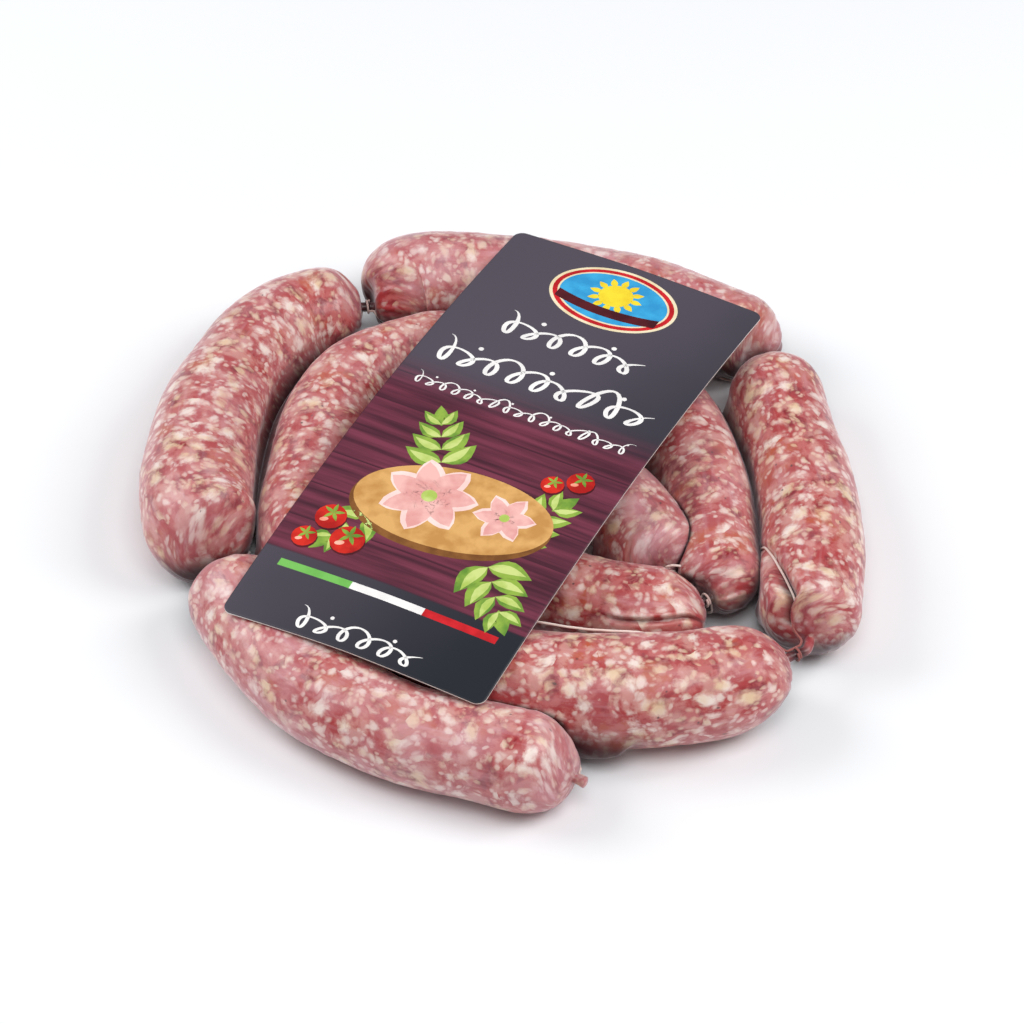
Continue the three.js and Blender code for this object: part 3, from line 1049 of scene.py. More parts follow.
@dataclass(frozen=True)
class CottonTwine:
    """Thin white cotton twine, damp and a little pink, and soaked red at the ties."""

    dry: str = "#F1E8E0"
    damp: str = "#DDB9B0"
    soaked: str = "#96504A"

    def material(self) -> bpy.types.Material:
        """Builds the node material.

        Returns:
            The material, on Object coordinates and the point attribute soaked.
        """
        made, add = bare_material("cotton_twine")
        place = add("ShaderNodeTexCoord").outputs["Object"]
        stain = add("ShaderNodeTexNoise", {"Vector": place, "Scale": 1 / (9 * MM)})
        soaked = add("ShaderNodeAttribute", attribute_name="soaked").outputs["Fac"]
        colour: object = linear(self.dry)
        for share, tint in ((stain, self.damp), (soaked, self.soaked)):
            colour = add(
                "ShaderNodeMix",
                {SHARE: share, UNDER_COLOUR: colour, OVER_COLOUR: linear(tint)},
                data_type="RGBA",
            )
        fibre = add("ShaderNodeTexNoise", {"Vector": place, "Scale": 1 / (0.4 * MM)})
        fuzz = add("ShaderNodeBump", {"Strength": 0.5, "Distance": 0.1 * MM, "Height": fibre})
        surface = add(
            "ShaderNodeBsdfPrincipled",
            {"Base Color": colour, "Roughness": 0.75, "Sheen Weight": 0.3, "Normal": fuzz},
        )
        add("ShaderNodeOutputMaterial", {0: surface})
        return made


@dataclass(frozen=True)
class PrintInk:
    """Offset print under a satin film: one flat colour with a faint drift to a second."""

    name: str
    colour: str
    drift: str

    def material(self) -> bpy.types.Material:
        """Builds the node material.

        Returns:
            The material, on Object coordinates.
        """
        made, add = bare_material(f"printed_{self.name}")
        place = add("ShaderNodeTexCoord").outputs["Object"]
        cloud = add("ShaderNodeTexNoise", {"Vector": place, "Scale": 1 / (7 * MM), "Detail": 3.0})
        share = add("ShaderNodeMapRange", {"Value": cloud, "From Min": 0.4, "From Max": 0.62})
        colour = add(
            "ShaderNodeMix",
            {SHARE: share, UNDER_COLOUR: linear(self.colour), OVER_COLOUR: linear(self.drift)},
            data_type="RGBA",
        )
        surface = add(
            "ShaderNodeBsdfPrincipled",
            {
                "Base Color": colour,
                "Roughness": 0.5,
                "Specular IOR Level": 0.25,
                "Coat Weight": 0.1,
                "Coat Roughness": 0.3,
            },
        )
        add("ShaderNodeOutputMaterial", {0: surface})
        return made


@dataclass(frozen=True)
class PrintedFields:
    """The card's printed ground under a satin film: charcoal, and a panel of maroon planks.

    The eye sees the charcoal melt into the panel at its top and end hard at its bottom. A painted
    sheen makes the charcoal paler towards the card's top left corner.
    """

    charcoal: str = "#1C2029"
    # The pale end of the painted sheen on the charcoal
    painted_sheen_charcoal: str = "#4F4955"
    maroon: str = "#78354A"
    dark_maroon: str = "#431C2B"
    # The panel's hard bottom and its melting top, as shares of the card's height
    bottom: float = 0.143
    edge: float = 0.004
    top: Pair = (0.53, 0.63)
    # Height of the card and of a plank, in millimetres
    height: float = 210.0
    plank: float = 15.0

    def material(self) -> bpy.types.Material:
        """Builds the node material.

        Returns:
            The material, which reads the card's own UV map.
        """
        made, add = bare_material("printed_card_ground")
        spot = add("ShaderNodeUVMap", uv_map="print")
        parts = add("ShaderNodeSeparateXYZ", {0: spot})
        up = parts.outputs["Y"]
        place = add("ShaderNodeTexCoord").outputs["Object"]
        cloud = add("ShaderNodeTexNoise", {"Vector": place, "Scale": 1 / (60 * MM), "Detail": 2.0})
        # Painted sheen: the charcoal pales towards the card's top left, with a slow cloud
        slant = add("ShaderNodeMath", {0: up, 1: parts.outputs["X"]}, operation="SUBTRACT")
        drift = add("ShaderNodeMath", {0: cloud, 1: 0.5, 2: slant}, operation="MULTIPLY_ADD")
        pale = add(
            "ShaderNodeMapRange",
            {"Value": drift, "From Min": -0.75, "From Max": 0.75},
            interpolation_type="SMOOTHSTEP",
        )
        grey = add(
            "ShaderNodeMix",
            {
                SHARE: pale,
                UNDER_COLOUR: linear(self.charcoal),
                OVER_COLOUR: linear(self.painted_sheen_charcoal),
            },
            data_type="RGBA",
        )
        long = add("ShaderNodeMapping", {"Vector": spot, "Scale": (1.5, 60, 1)})
        grain = add("ShaderNodeTexNoise", {"Vector": long, "Scale": 1.0, "Detail": 5.0})
        row = add("ShaderNodeMath", {0: up, 1: self.height / self.plank}, operation="MULTIPLY")
        rise = add("ShaderNodeMath", {0: row}, operation="FRACT")
        joint = add("ShaderNodeMapRange", {"Value": rise, "From Min": 0.02, "From Max": 0.07})
        streak = add("ShaderNodeMapRange", {"Value": grain, "From Min": 0.35, "From Max": 0.65})
        lit = add("ShaderNodeMath", {0: joint, 1: streak}, operation="MULTIPLY")
        wood = add(
            "ShaderNodeMix",
            {SHARE: lit, UNDER_COLOUR: linear(self.dark_maroon), OVER_COLOUR: linear(self.maroon)},
            data_type="RGBA",
        )
        above = add(
            "ShaderNodeMapRange",
            {"Value": up, "From Min": self.bottom, "From Max": self.bottom + self.edge},
        )
        low, high = self.top
        below = add(
            "ShaderNodeMapRange",
            {"Value": up, "From Min": low, "From Max": high, "To Min": 1.0, "To Max": 0.0},
            interpolation_type="SMOOTHSTEP",
        )
        inside = add("ShaderNodeMath", {0: above, 1: below}, operation="MULTIPLY")
        layers = {SHARE: inside, UNDER_COLOUR: grey, OVER_COLOUR: wood}
        colour = add("ShaderNodeMix", layers, data_type="RGBA")
        surface = add(
            "ShaderNodeBsdfPrincipled",
            {
                "Base Color": colour,
                "Roughness": 0.5,
                "Specular IOR Level": 0.25,
                "Coat Weight": 0.12,
                "Coat Roughness": 0.3,
            },
        )
        add("ShaderNodeOutputMaterial", {0: surface})
        return made


@dataclass(frozen=True)
class CardCore:
    """Bleached paperboard, as it shows at the cut edges and underneath."""

    white: str = "#F2EFEC"
    grey: str = "#DEDAD6"

    def material(self) -> bpy.types.Material:
        """Builds the node material.

        Returns:
            The material, on Object coordinates.
        """
        made, add = bare_material("bleached_paperboard")
        place = add("ShaderNodeTexCoord").outputs["Object"]
        noise = {"Vector": place, "Scale": 1 / (0.8 * MM), "Detail": 4.0}
        fibres = add("ShaderNodeTexNoise", noise)
        colour = add(
            "ShaderNodeMix",
            {SHARE: fibres, UNDER_COLOUR: linear(self.white), OVER_COLOUR: linear(self.grey)},
            data_type="RGBA",
        )
        surface = add("ShaderNodeBsdfPrincipled", {"Base Color": colour, "Roughness": 0.85})
        add("ShaderNodeOutputMaterial", {0: surface})
        return made


# Pieces


@dataclass
class Sausage:
    """One link of the string as a fine mesh."""

    form: LinkForm
    around: int = 144
    shoulder_rings: int = 30
    body_step: float = 0.95

    def rings(self) -> np.ndarray:
        """Gives the distances of all rings, tail or neck end first."""
        form, tail = self.form, self.form.tail_length
        start, end = (name in ("outer_end", "inner_end") for name in form.link.ties)
        first, last = form.link.necks[0], form.length - form.link.necks[1]
        lengths = [g * share for g, share in zip(form.link.girth, form.link.shoulder)]
        quarter = np.arange(1, self.shoulder_rings + 1) / self.shoulder_rings * math.pi / 2
        curve = 1 - np.cos(quarter)
        count = round(form.length / self.body_step)
        body = np.linspace(first + lengths[0], last - lengths[1], count)
        head = [-tail, -tail + 0.4, -1] if start else [form.neck_end_gap]
        foot = [form.length - form.neck_end_gap]
        if end:
            foot = [form.length + 1, form.length + tail - 0.4, form.length + tail]
        neck = np.linspace(0.8, first - 0.4, 4)
        last_neck = form.length - np.linspace(0.8, form.link.necks[1] - 0.4, 8)[::-1]
        parts = [head[:1], head, neck, [first], first + curve * lengths[0], body[1:-1]]
        parts += [(last - curve * lengths[1])[::-1], [last], last_neck, foot, foot[-1:]]
        return np.concatenate(parts)

    def place(self, ring: np.ndarray, angle: np.ndarray, open_ring: np.ndarray) -> np.ndarray:
        """Gives the places of a tube's vertices in millimetres."""
        form = self.form
        s = self.distances[ring]
        inside = np.clip(s, 0, form.length)
        beyond = s - inside
        skin = form.pressed(form.free(inside, angle), inside, self.others)
        axis = form.axis(inside)
        width = np.where(beyond == 0, 1.0, form.tail_radius / form.neck_radius)
        tip = np.abs(beyond) > form.tail_length - 0.2
        width = np.where(tip, 0.7, width) * open_ring
        tangent = np.concatenate([form.route.along(inside), np.zeros((len(s), 1))], axis=1)
        radius = form.radius(inside) * open_ring
        self.mince = np.stack(
            [s + 400 * form.number, radius * np.cos(angle), radius * np.sin(angle)], axis=1
        )
        self.gather = form.gathered(inside)
        # Painted shade where the link touches others, low in narrow gaps and in deep creases
        self.painted_shade = form.painted_shade(skin, inside, angle, self.others)
        return axis + (skin - axis) * width[:, None] + tangent * beyond[:, None]

    def build(self, others: list[LinkForm], finish: bpy.types.Material) -> bpy.types.Object:
        """Models the link.

        Args:
            others: The forms of the other links, which press on this one.
            finish: Its material.

        Returns:
            The new object.
        """
        self.others = others
        self.distances = self.rings()
        name = self.form.link.name.replace("link", "sausage")
        thing = lengthwise_tube(name, self.around, len(self.distances) - 1, self.place)
        keep_on_points(thing, "mince", "FLOAT_VECTOR", self.mince * MM)
        keep_on_points(thing, "gather", "FLOAT", self.gather)
        # The painted shade of the clefts, for the material
        keep_on_points(thing, "painted_shade", "FLOAT", self.painted_shade)
        thing.data.materials.append(finish)
        take_in(thing, "meat", self.form.link.name)
        return thing


@dataclass
class TwineString:
    """Butcher's twine: a run along each link, and turns wound round each tie."""

    radius: float = 0.42
    clearance: float = 0.1
    turns: float = 1.15
    pitch: float = 0.8
    # The tie whose twine is soaked right through, and how far from it the soaking fades
    soaked_tie: str = "front_right"
    soaked_reach: Pair = (14.0, 20.0)
    damp_share: float = 0.35
    damp_reach: Pair = (2.5, 9.0)
    # Depth of the grooves between the three strands as a share of the radius, and the lay's
    # turn in radians a millimetre
    groove: float = 0.13
    lay: float = 1.6
    around: int = 12
    # Length of a span, and over how many points a run is smoothed
    step: float = 0.7
    blur: int = 7
    # The cut end that stands up from the last tie, as offsets from it
    cut_end: tuple[Triple, ...] = (
        (0, -1.0, 1.9),
        (-1.2, -1.2, 4.2),
        (-1.4, -1.4, 6.0),
        (0.4, -1.7, 6.9),
        (2.0, -1.5, 6.6),
        (3.3, -1.2, 6.1),
    )

    def soaking(self, places: np.ndarray) -> np.ndarray:
        """Tells how soaked with meat juice the twine is at given places, from 0 to 1."""
        share = np.zeros(len(places))
        for name, tie in TIES.items():
            apart = np.linalg.norm(places - [*tie.at, tie.height], axis=1)
            full, reach = self.damp_share, self.damp_reach
            if name == self.soaked_tie:
                full, reach = 1.0, self.soaked_reach
            share = np.maximum(share, full * (1 - smoothstep(apart, *reach)))
        return share

    def cord(self, name: str, line: np.ndarray, finish: bpy.types.Material) -> bpy.types.Object:
        """Models a twisted cord along a line.

        Args:
            name: Name of the new object.
            line: Points of its middle in millimetres.
            finish: Its material.

        Returns:
            The new object.
        """
        tangent = np.gradient(line, axis=0)
        tangent /= np.linalg.norm(tangent, axis=1, keepdims=True)
        side = np.cross(tangent, UP + 0.01)
        side /= np.linalg.norm(side, axis=1, keepdims=True)
        top = np.cross(side, tangent)
        length = np.concatenate([[0], np.cumsum(np.linalg.norm(np.diff(line, axis=0), axis=1))])

        def place(ring: np.ndarray, angle: np.ndarray, open_ring: np.ndarray) -> np.ndarray:
            """Puts each ring round its point, with three strands twisted together."""
            ring = np.clip(ring - 1, 0, len(line) - 1)
            strands = np.abs(np.cos(1.5 * (angle - length[ring] * self.lay)))
            strands = 1 - self.groove * (1 - strands)
            out = self.radius * strands * open_ring
            across = side[ring] * (out * np.cos(angle))[:, None]
            self.juice = self.soaking(line)[ring]
            return line[ring] + across + top[ring] * (out * np.sin(angle))[:, None]

        thing = lengthwise_tube(name, self.around, len(line) + 1, place)
        keep_on_points(thing, "soaked", "FLOAT", self.juice)
        thing.data.materials.append(finish)
        return thing

    def run(self, form: LinkForm, route: tuple[Triple, ...]) -> np.ndarray:
        """Gives the line of the twine along one link, from inside one tie to inside the next."""
        s = np.linspace(0, form.length, round(form.length / self.step))
        back = form.length - s
        stops = np.array(route).T
        angle = np.radians(np.interp(back, stops[0], stops[1]))
        over = self.radius + self.clearance + np.interp(back, stops[0], stops[2])
        line = form.free(s, angle, over)
        blur = np.ones(self.blur) / self.blur
        smooth = np.stack([np.convolve(line[:, i], blur, "same") for i in range(3)], axis=1)
        smooth[:4], smooth[-4:] = line[:4], line[-4:]
        smooth[:, 2] = np.maximum(smooth[:, 2], self.radius)
        return smooth

    def turns_round(self, tie: Tie, neck_radius: float) -> np.ndarray:
        """Gives the line of the turns wound round a tie."""
        heading = math.radians(tie.heading)
        along = np.array([math.cos(heading), math.sin(heading), 0.0])
        side = np.array([-along[1], along[0], 0.0])
        turn = np.linspace(0, 2 * math.pi * self.turns, round(40 * self.turns))
        reach = neck_radius * 1.025 + self.clearance + self.radius
        shift = (turn / (2 * math.pi) - self.turns / 2) * self.pitch
        middle = np.array([*tie.at, tie.height])
        ring = np.outer(np.cos(turn), side) + np.outer(np.sin(turn), UP)
        return middle + reach * ring + np.outer(shift, along)

    def build(self, forms: list[LinkForm], finish: bpy.types.Material) -> list[bpy.types.Object]:
        """Models all runs and ties.

        Args:
            forms: The links in the order of the string.
            finish: The twine's material.

        Returns:
            The new objects.
        """
        cords = []
        for form, route in zip(forms, TWINE_ROUTES):
            name = form.link.name.replace("link", "twine_run")
            cords.append(self.cord(name, self.run(form, route), finish))
        for name, tie in TIES.items():
            if name == "outer_end":
                continue
            line = self.turns_round(tie, forms[0].neck_radius)
            cords.append(self.cord(f"twine_tie_{name}", line, finish))
        last = TIES["inner_end"]
        line = np.array(self.cut_end) + [*last.at, last.height]
        steps = np.linspace(0, len(line) - 1, 24)
        line = np.stack([np.interp(steps, range(len(line)), line[:, i]) for i in range(3)], axis=1)
        cords.append(self.cord("twine_cut_end", line, finish))
        take_in(cords[0], "twine", "twine")
        for cord in cords[1:]:
            take_in(cord, "twine")
        return cords


@dataclass(frozen=True)
class CardForm:
    """The printed card: its cut size and how it lies, in millimetres."""

    width: float = 96.0
    length: float = 210.0
    thickness: float = 0.4
    corner: float = 3.5
    centre: Pair = (0.2, 7.9)
    turn: float = -27.5
    crown: float = 38.1
    tilt: float = 0.5
    bow: float = 5.6
    # Each drooping corner: its side, its end and by how much
    droops: tuple[Triple, ...] = ((-1, -1, 3.4), (1, -1, 1.6), (-1, 1, 1.5), (1, 1, 1.5))

    def height(self, flat: np.ndarray) -> np.ndarray:
        """Gives the height of the underside at flat places on the card."""
        u, v = 2 * flat[:, 0] / self.width, 2 * flat[:, 1] / self.length
        height = self.crown - self.tilt * v - self.bow * v * v
        for right, back, droop in self.droops:
            height = height - droop * (np.maximum(0, right * u) * np.maximum(0, back * v)) ** 1.5
        return height

    def placed(self, flat: np.ndarray, lift: Amount) -> np.ndarray:
        """Turns flat places into places in space.

        Args:
            flat: Places across and along the card from its middle, one row each.
            lift: Heights over the underside.

        Returns:
            The places in metres.
        """
        across = turned(self.centre, flat[:, 0], flat[:, 1], self.turn)
        return np.column_stack([across, self.height(flat) + lift]) * MM


@dataclass
class Card:
    """The card itself, with a printed top and bare edges."""

    form: CardForm
    cells: tuple[int, int] = (48, 100)
    corner_cells: int = 4

    def spread(self, index: np.ndarray, cells: int, half: float) -> np.ndarray:
        """Spaces grid lines evenly, with narrow cells along both edges for the round corners."""
        k, inner = self.corner_cells, half - self.form.corner
        stops = [0, k, cells - k, cells]
        return np.interp(index, stops, [-half, -inner, inner, half])

    def build(self, ground: bpy.types.Material, core: bpy.types.Material) -> bpy.types.Object:
        """Models the card.

        Args:
            ground: Material of the printed side.
            core: Material of the edges and the underside.

        Returns:
            The new object.
        """
        form = self.form
        sheet = bmesh.new()
        bmesh.ops.create_grid(sheet, x_segments=self.cells[0], y_segments=self.cells[1], size=1.0)
        steps = (places_of(sheet)[:, :2] + 1) / 2 * np.array(self.cells)
        half = (form.width / 2, form.length / 2)
        flat = np.stack([self.spread(steps[:, i], self.cells[i], half[i]) for i in (0, 1)], axis=1)
        past = np.clip((np.abs(flat) - (np.array(half) - form.corner)) / form.corner, 0, 1)
        rounded = past * np.sqrt(1 - past[:, ::-1] ** 2 / 2)
        flat -= np.sign(flat) * (past - rounded) * form.corner
        lay_flat(sheet, flat)
        thicken(sheet, form.thickness)
        uv = sheet.loops.layers.uv.new("print")
        for face in sheet.faces:
            face.material_index = 0 if face.normal.z > 0.5 else 1
            for loop in face.loops:
                x, y, _ = loop.vert.co
                loop[uv].uv = (x / form.width + 0.5, y / form.length + 0.5)
        rows = places_of(sheet)
        move_to(sheet, form.placed(rows[:, :2], rows[:, 2]))
        thing = finished("label_card", sheet)
        thing.data.materials.append(ground)
        thing.data.materials.append(core)
        for face in thing.data.polygons:
            face.use_smooth = face.material_index == 0
        take_in(thing, "card", "card")
        return thing


class Ink(Enum):
    """The inks of the card's ornament, with what each drifts to."""

    WHITE = PrintInk("white", "#F4F2F0", "#E9E6E6")
    CREAM = PrintInk("cream", "#EFE3C2", "#E6D6AE")
    RED = PrintInk("red", "#CE2029", "#B3161F")
    SKY = PrintInk("sky_blue", "#3BA9DD", "#2F93CB")
    YELLOW = PrintInk("yellow", "#F3DC35", "#E9C92A")
    MAROON = PrintInk("maroon", "#57131F", "#420E18")
    STRIPE_GREEN = PrintInk("stripe_green", "#76BD5B", "#6BB252")
    LEAF = PrintInk("leaf_green", "#8FAF45", "#5F8A33")
    PALE_LEAF = PrintInk("pale_leaf_green", "#C9D884", "#A9C25A")
    BERRY = PrintInk("berry_red", "#D32A1C", "#A81512")
    GLINT = PrintInk("glint", "#F6B9A4", "#EE8E74")
    BOARD = PrintInk("tan_board", "#D9A866", "#C18C4C")
    BOARD_EDGE = PrintInk("dark_tan", "#8A5A2C", "#6F4420")
    PETAL = PrintInk("pale_pink", "#EDB9B2", "#DE9C98")
    PETAL_RIM = PrintInk("petal_rim", "#F8DCD6", "#F2CCC6")


@dataclass
class CardPrint:
    """A generic ornament printed on the card: shapes as thin as ink, in layers."""

    # Each one's place on the card and its sizes, in the order that its method takes them
    SCROLLS: ClassVar[tuple] = (
        ((-30, 50), 54, 12.5, 6, 1.7),
        ((-43, 27), 82, 13.5, 9, 1.7),
        ((-42, 12.8), 82, 6.2, 17, 0.8),
        ((-25, -102), 46, 9, 6, 1.3),
    )
    SPRIGS: ClassVar[tuple] = (
        ((20, -40), 26, 60, 4),
        ((-12, -20), 24, 118, 4),
        ((22, -52), 26, -52, 4),
        ((-22, -50), 20, -120, 3),
    )
    BERRIES: ClassVar[tuple] = (
        ((-34, -56), 5.4),
        ((-24, -63), 6.0),
        ((-38, -67), 4.4),
        ((33, -6), 4.8),
        ((25, -11), 4.0),
    )

    form: CardForm
    cell: float = 2.4
    # Thickness of a layer of ink, and how deep the first one reaches into the card
    ink: float = 0.012
    sunk: float = 0.01
    model: bmesh.types.BMesh = field(default_factory=bmesh.new)

    def shape(self, ink: Ink, layer: int, size: Pair, outline: Outline) -> None:
        """Prints one shape.

        Args:
            ink: Its ink.
            layer: Number of the layer, from 1 upwards.
            size: About how long and how wide it is, for the fineness of its mesh.
            outline: Turns u and v, each from -1 to 1, into places on the card.
        """
        cells = [max(4, round(length / self.cell) * 2) for length in size]
        patch = bmesh.new()
        bmesh.ops.create_grid(patch, x_segments=cells[0], y_segments=cells[1], size=1.0)
        unit = places_of(patch)
        lay_flat(patch, outline(unit[:, 0], unit[:, 1]))
        bmesh.ops.remove_doubles(patch, verts=patch.verts, dist=0.001)
        thicken(patch, self.ink * layer)
        rows = places_of(patch)
        lift = self.form.thickness - self.sunk + rows[:, 2]
        move_to(patch, self.form.placed(rows[:, :2], lift))
        for face in patch.faces:
            face.material_index = list(Ink).index(ink)
        part = bpy.data.meshes.new("part")
        patch.to_mesh(part)
        patch.free()
        self.model.from_mesh(part)
        bpy.data.meshes.remove(part)

    def oval(
        self, ink: Ink, layer: int, middle: Pair, radii: Pair, turn: float = 0.0
    ) -> None:
        """Prints a filled oval, turned by degrees."""

        def outline(u: np.ndarray, v: np.ndarray) -> np.ndarray:
            """Maps a square onto the oval."""
            x = radii[0] * u * np.sqrt(1 - v * v / 2)
            y = radii[1] * v * np.sqrt(1 - u * u / 2)
            return turned(middle, x, y, turn)

        self.shape(ink, layer, radii, outline)

    def leaf(
        self,
        ink: Ink,
        layer: int,
        base: Pair,
        length: float,
        width: float,
        turn: float,
        bend: float = 0.0,
        blunt: float = 1.0,
    ) -> None:
        """Prints a leaf or petal.

        Args:
            ink: Its ink.
            layer: Number of the layer.
            base: Where it starts.
            length: From base to tip.
            width: At its widest.
            turn: Its direction in degrees.
            bend: How far its middle stands off the straight line.
            blunt: 1 for a pointed tip, less for a round one.
        """

        def outline(u: np.ndarray, v: np.ndarray) -> np.ndarray:
            """Maps a square onto the leaf."""
            share = (u + 1) / 2
            half = width / 2 * np.sin(math.pi * np.clip(share, 0, 1) ** 0.8) ** blunt
            return turned(base, share * length, v * half + bend * np.sin(math.pi * share), turn)

        self.shape(ink, layer, (length / 2, width / 2), outline)

    def bar(self, ink: Ink, layer: int, low: Pair, high: Pair) -> None:
        """Prints a straight bar between two corners."""
        middle, half = (np.array(low) + high) / 2, (np.array(high) - low) / 2
        self.shape(ink, layer, tuple(half), lambda u, v: middle + np.stack([u, v], axis=1) * half)

    def scroll(self, start: Pair, length: float, tall: float, waves: int, thick: float) -> None:
        """Prints a white scroll: a pen stroke in leaning waves, with a dot over each third one.

        Args:
            start: Its lower left corner.
            length: From end to end.
            tall: Height of the tallest waves.
            waves: Number of waves.
            thick: Thickness of the stroke at its thickest.
        """

        def line(share: np.ndarray) -> np.ndarray:
            """Gives places on the middle of the stroke."""
            phase = 2 * math.pi * waves * share
            tallness = (0.5 + 0.5 * np.cos(phase / 3.4)) ** 3
            rise = tall * (0.27 + 0.23 * tallness) * (1 + np.cos(phase + 0.5 * np.sin(phase / 2.3)))
            x = start[0] + share * length + 0.4 * length / waves * np.sin(phase) + 0.22 * rise
            return np.stack([x, start[1] + rise], axis=1)

        def stroke(u: np.ndarray, v: np.ndarray) -> np.ndarray:
            """Maps a square onto the stroke."""
            share = (u + 1) / 2
            way = line(share + 0.001) - line(share - 0.001)
            way /= np.linalg.norm(way, axis=1, keepdims=True)
            pointed = np.minimum(1, 12 * (1 - np.abs(u)) + 0.2)
            half = thick / 2 * (0.45 + 0.55 * np.abs(way[:, 1])) * pointed
            across = np.stack([-way[:, 1], way[:, 0]], axis=1)
            return line(share) + across * (v * half)[:, None]

        self.shape(Ink.WHITE, 1, (waves * 30, thick), stroke)
        for number in range(1, waves, 3):
            x = start[0] + (number + 0.7) / waves * length
            self.oval(Ink.WHITE, 1, (x, start[1] + tall * 0.82), (thick * 0.55, thick * 0.55))

    def badge(self) -> None:
        """Prints an oval badge: a sun over a plain ribbon on a sky."""
        x, y = middle = (-0.2, 84.6)
        sun = (x, y + 2)
        rims = ((Ink.CREAM, 0.0), (Ink.RED, 1.2), (Ink.CREAM, 2.9), (Ink.SKY, 3.6))
        for layer, (ink, shrink) in enumerate(rims, 1):
            self.oval(ink, layer, middle, (23.5 - shrink, 17.0 - shrink))
        for turn in range(0, 360, 30):
            self.leaf(Ink.YELLOW, 5, turned(sun, 5.4, 0.0, turn), 4.6, 2.6, turn)
        self.oval(Ink.YELLOW, 5, sun, (6.2, 6.2))

        def ribbon(u: np.ndarray, v: np.ndarray) -> np.ndarray:
            """Maps a square onto a ribbon that sags in its middle."""
            return np.stack([x + 19.2 * u, y - 8.2 + 2.2 * v + 3.0 * u * u], axis=1)

        self.shape(Ink.MAROON, 6, (19, 3), ribbon)

    def stripe(self) -> None:
        """Prints the green, white and red stripe."""
        left, low, high, third = -40.2, -81.3, -78.3, 26.8
        for number, ink in enumerate((Ink.STRIPE_GREEN, Ink.WHITE, Ink.RED)):
            x = left + third * number
            self.bar(ink, 1, (x, low), (x + third, high))

    def blossom(self, middle: Pair, radius: float, petals: int) -> None:
        """Prints a pale pink blossom with a small green heart."""
        for number in range(petals):
            turn = 360 / petals * number + 12
            self.leaf(Ink.PETAL_RIM, 5, middle, radius, radius * 0.62, turn, blunt=0.6)
            inner = (radius * 0.93, radius * 0.5, turn + 2)
            self.leaf(Ink.PETAL, 6, middle, *inner, bend=radius * 0.03, blunt=0.7)
        self.oval(Ink.PALE_LEAF, 7, middle, (radius * 0.16, radius * 0.16))

    def berry(self, middle: Pair, radius: float) -> None:
        """Prints a round berry with a glint and its leaves."""
        x, y = middle
        self.oval(Ink.MAROON, 4, (x + 0.5, y - 0.7), (radius, radius))
        self.oval(Ink.BERRY, 5, middle, (radius, radius))
        glint = (x - radius * 0.3, y - radius * 0.35)
        self.oval(Ink.GLINT, 6, glint, (radius * 0.28, radius * 0.16), 25)
        for turn in (20, 95, 160, 235, 310):
            stalk = (x, y + radius * 0.35)
            self.leaf(Ink.LEAF, 6, stalk, radius * 0.75, radius * 0.26, turn)

    def sprig(self, base: Pair, length: float, turn: float, pairs: int) -> None:
        """Prints a sprig of overlapping green leaves."""
        for number in range(pairs):
            share = (number + 0.3) / pairs
            root = turned(base, length * share, 0.0, turn)
            size = length * (0.62 - 0.3 * share)
            for side in (-1, 1):
                spread = turn + side * (58 - 24 * share)
                self.leaf(Ink.LEAF, 2, root, size, size * 0.5, spread, bend=side * size * 0.08)
                vein = (size * 0.86, size * 0.24, spread + 3)
                self.leaf(Ink.PALE_LEAF, 3, root, *vein, bend=side * size * 0.06)
        tip = turned(base, length * 0.8, 0.0, turn)
        self.leaf(Ink.LEAF, 2, tip, length * 0.42, length * 0.22, turn)

    def build(self) -> bpy.types.Object:
        """Prints the whole ornament.

        Returns:
            The new object.
        """
        self.badge()
        for scroll in self.SCROLLS:
            self.scroll(*scroll)
        self.stripe()
        for sprig in self.SPRIGS:
            self.sprig(*sprig)
        self.oval(Ink.BOARD_EDGE, 3, (1, -38), (35, 19), 8)
        self.oval(Ink.BOARD, 4, (1, -36), (34.5, 18.2), 8)
        self.blossom((-9, -34), 17, 7)
        self.blossom((18, -32), 11, 6)
        for berry in self.BERRIES:
            self.berry(*berry)
        thing = finished("card_ornament", self.model)
        for face in thing.data.polygons:
            face.use_smooth = False
        for ink in Ink:
            thing.data.materials.append(ink.value.material())
        take_in(thing, "card")
        return thing


# The stage


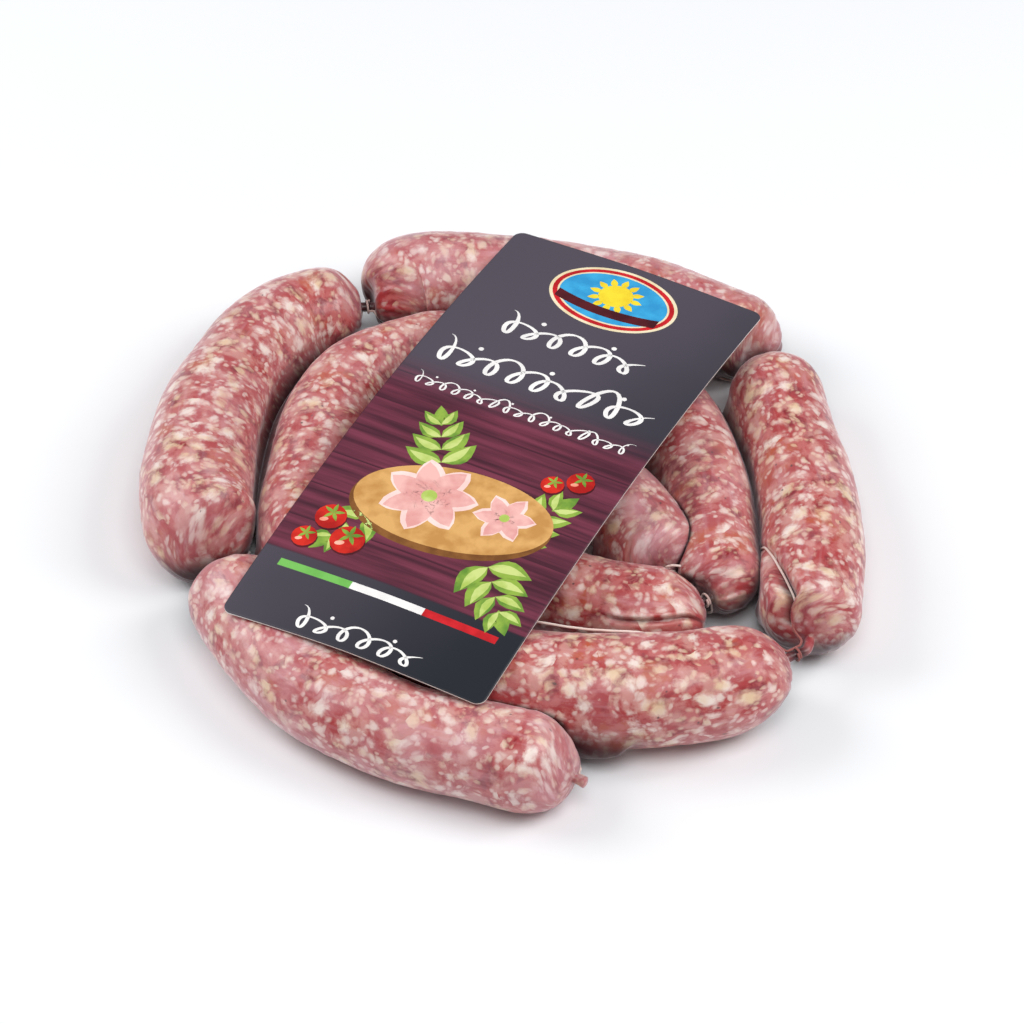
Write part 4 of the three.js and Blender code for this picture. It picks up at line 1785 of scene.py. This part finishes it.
@dataclass(frozen=True)
class Studio:
    """A white table, soft lights at both sides and over the front, and the camera."""

    aim: Triple = (3.9, -4.4, 17.0)
    distance: float = 1513.28
    elevation: float = 44.631
    lens: float = 158.2
    sensor: float = 36.0
    surround: float = 0.24
    # The point that the lights shine at, in metres
    lit: Triple = (0.0, 0.0, 0.02)
    # Each soft light: its name, where it hangs in metres, its size and its power in watts
    lights: tuple[tuple[str, Triple, float, float], ...] = (
        ("left", (-1.0, 0.3, 0.8), 0.8, 9.5),
        ("right", (0.95, -0.05, 0.9), 0.7, 9.0),
        ("front", (0.1, -0.5, 1.2), 0.7, 6.2),
    )

    def build(self) -> None:
        """Sets the stage up."""
        self.floor()
        self.light()
        self.camera()
        bpy.context.scene.view_settings.view_transform = "Standard"

    def floor(self) -> None:
        """Lays the white table top."""
        sheet = bmesh.new()
        bmesh.ops.create_grid(sheet, x_segments=2, y_segments=2, size=6.0)
        floor = finished("table_top", sheet)
        paper = bpy.data.materials.new("white_table_top")
        paper.use_nodes = True
        sockets = paper.node_tree.nodes["Principled BSDF"].inputs
        sockets["Base Color"].default_value = linear("#F0F2F5")
        sockets["Roughness"].default_value = 0.9
        sockets["Specular IOR Level"].default_value = 0.1
        floor.data.materials.append(paper)

    def light(self) -> None:
        """Adds the surround and the soft lights."""
        world = bpy.data.worlds.new("white_studio")
        world.use_nodes = True
        sky = world.node_tree.nodes["Background"]
        sky.inputs["Color"].default_value = (1, 1, 1, 1)
        sky.inputs["Strength"].default_value = self.surround
        bpy.context.scene.world = world
        for name, place, size, watts in self.lights:
            panel = bpy.data.lights.new(name, "AREA")
            panel.shape, panel.size, panel.energy = "SQUARE", size, watts
            lamp = bpy.data.objects.new(name, panel)
            lamp.location = place
            aim = Vector(self.lit) - lamp.location
            lamp.rotation_euler = aim.to_track_quat("-Z", "Y").to_euler()
            bpy.context.scene.collection.objects.link(lamp)

    def camera(self) -> None:
        """Places the camera at the photograph's angle."""
        lens = bpy.data.cameras.new("view")
        lens.lens = self.lens
        lens.sensor_width = self.sensor
        view = bpy.data.objects.new("view", lens)
        tilt = math.radians(self.elevation)
        back = Vector((0, -math.cos(tilt), math.sin(tilt)))
        view.location = (Vector(self.aim) + back * self.distance) * MM
        view.rotation_euler = (math.pi / 2 - tilt, 0, 0)
        bpy.context.scene.collection.objects.link(view)
        bpy.context.scene.camera = view


def main() -> None:
    """Builds the coil, its twine, its card and the stage."""
    logging.basicConfig(level=logging.INFO, format="%(name)s: %(message)s")
    kinds = {"link_right": TiedAcrossForm, "link_core_front": FoldedForm}
    forms = [kinds.get(link.name, LinkForm)(link, number) for number, link in enumerate(LINKS)]
    meats = {grain: PorkInCasing(grain).material() for grain in Grain}
    for form in forms:
        others = [other for other in forms if other is not form]
        Sausage(form).build(others, meats[form.link.grain])
    TwineString().build(forms, CottonTwine().material())
    card = CardForm()
    Card(card).build(PrintedFields().material(), CardCore().material())
    CardPrint(card).build()
    Studio().build()


if __name__ == "__main__":
    main()
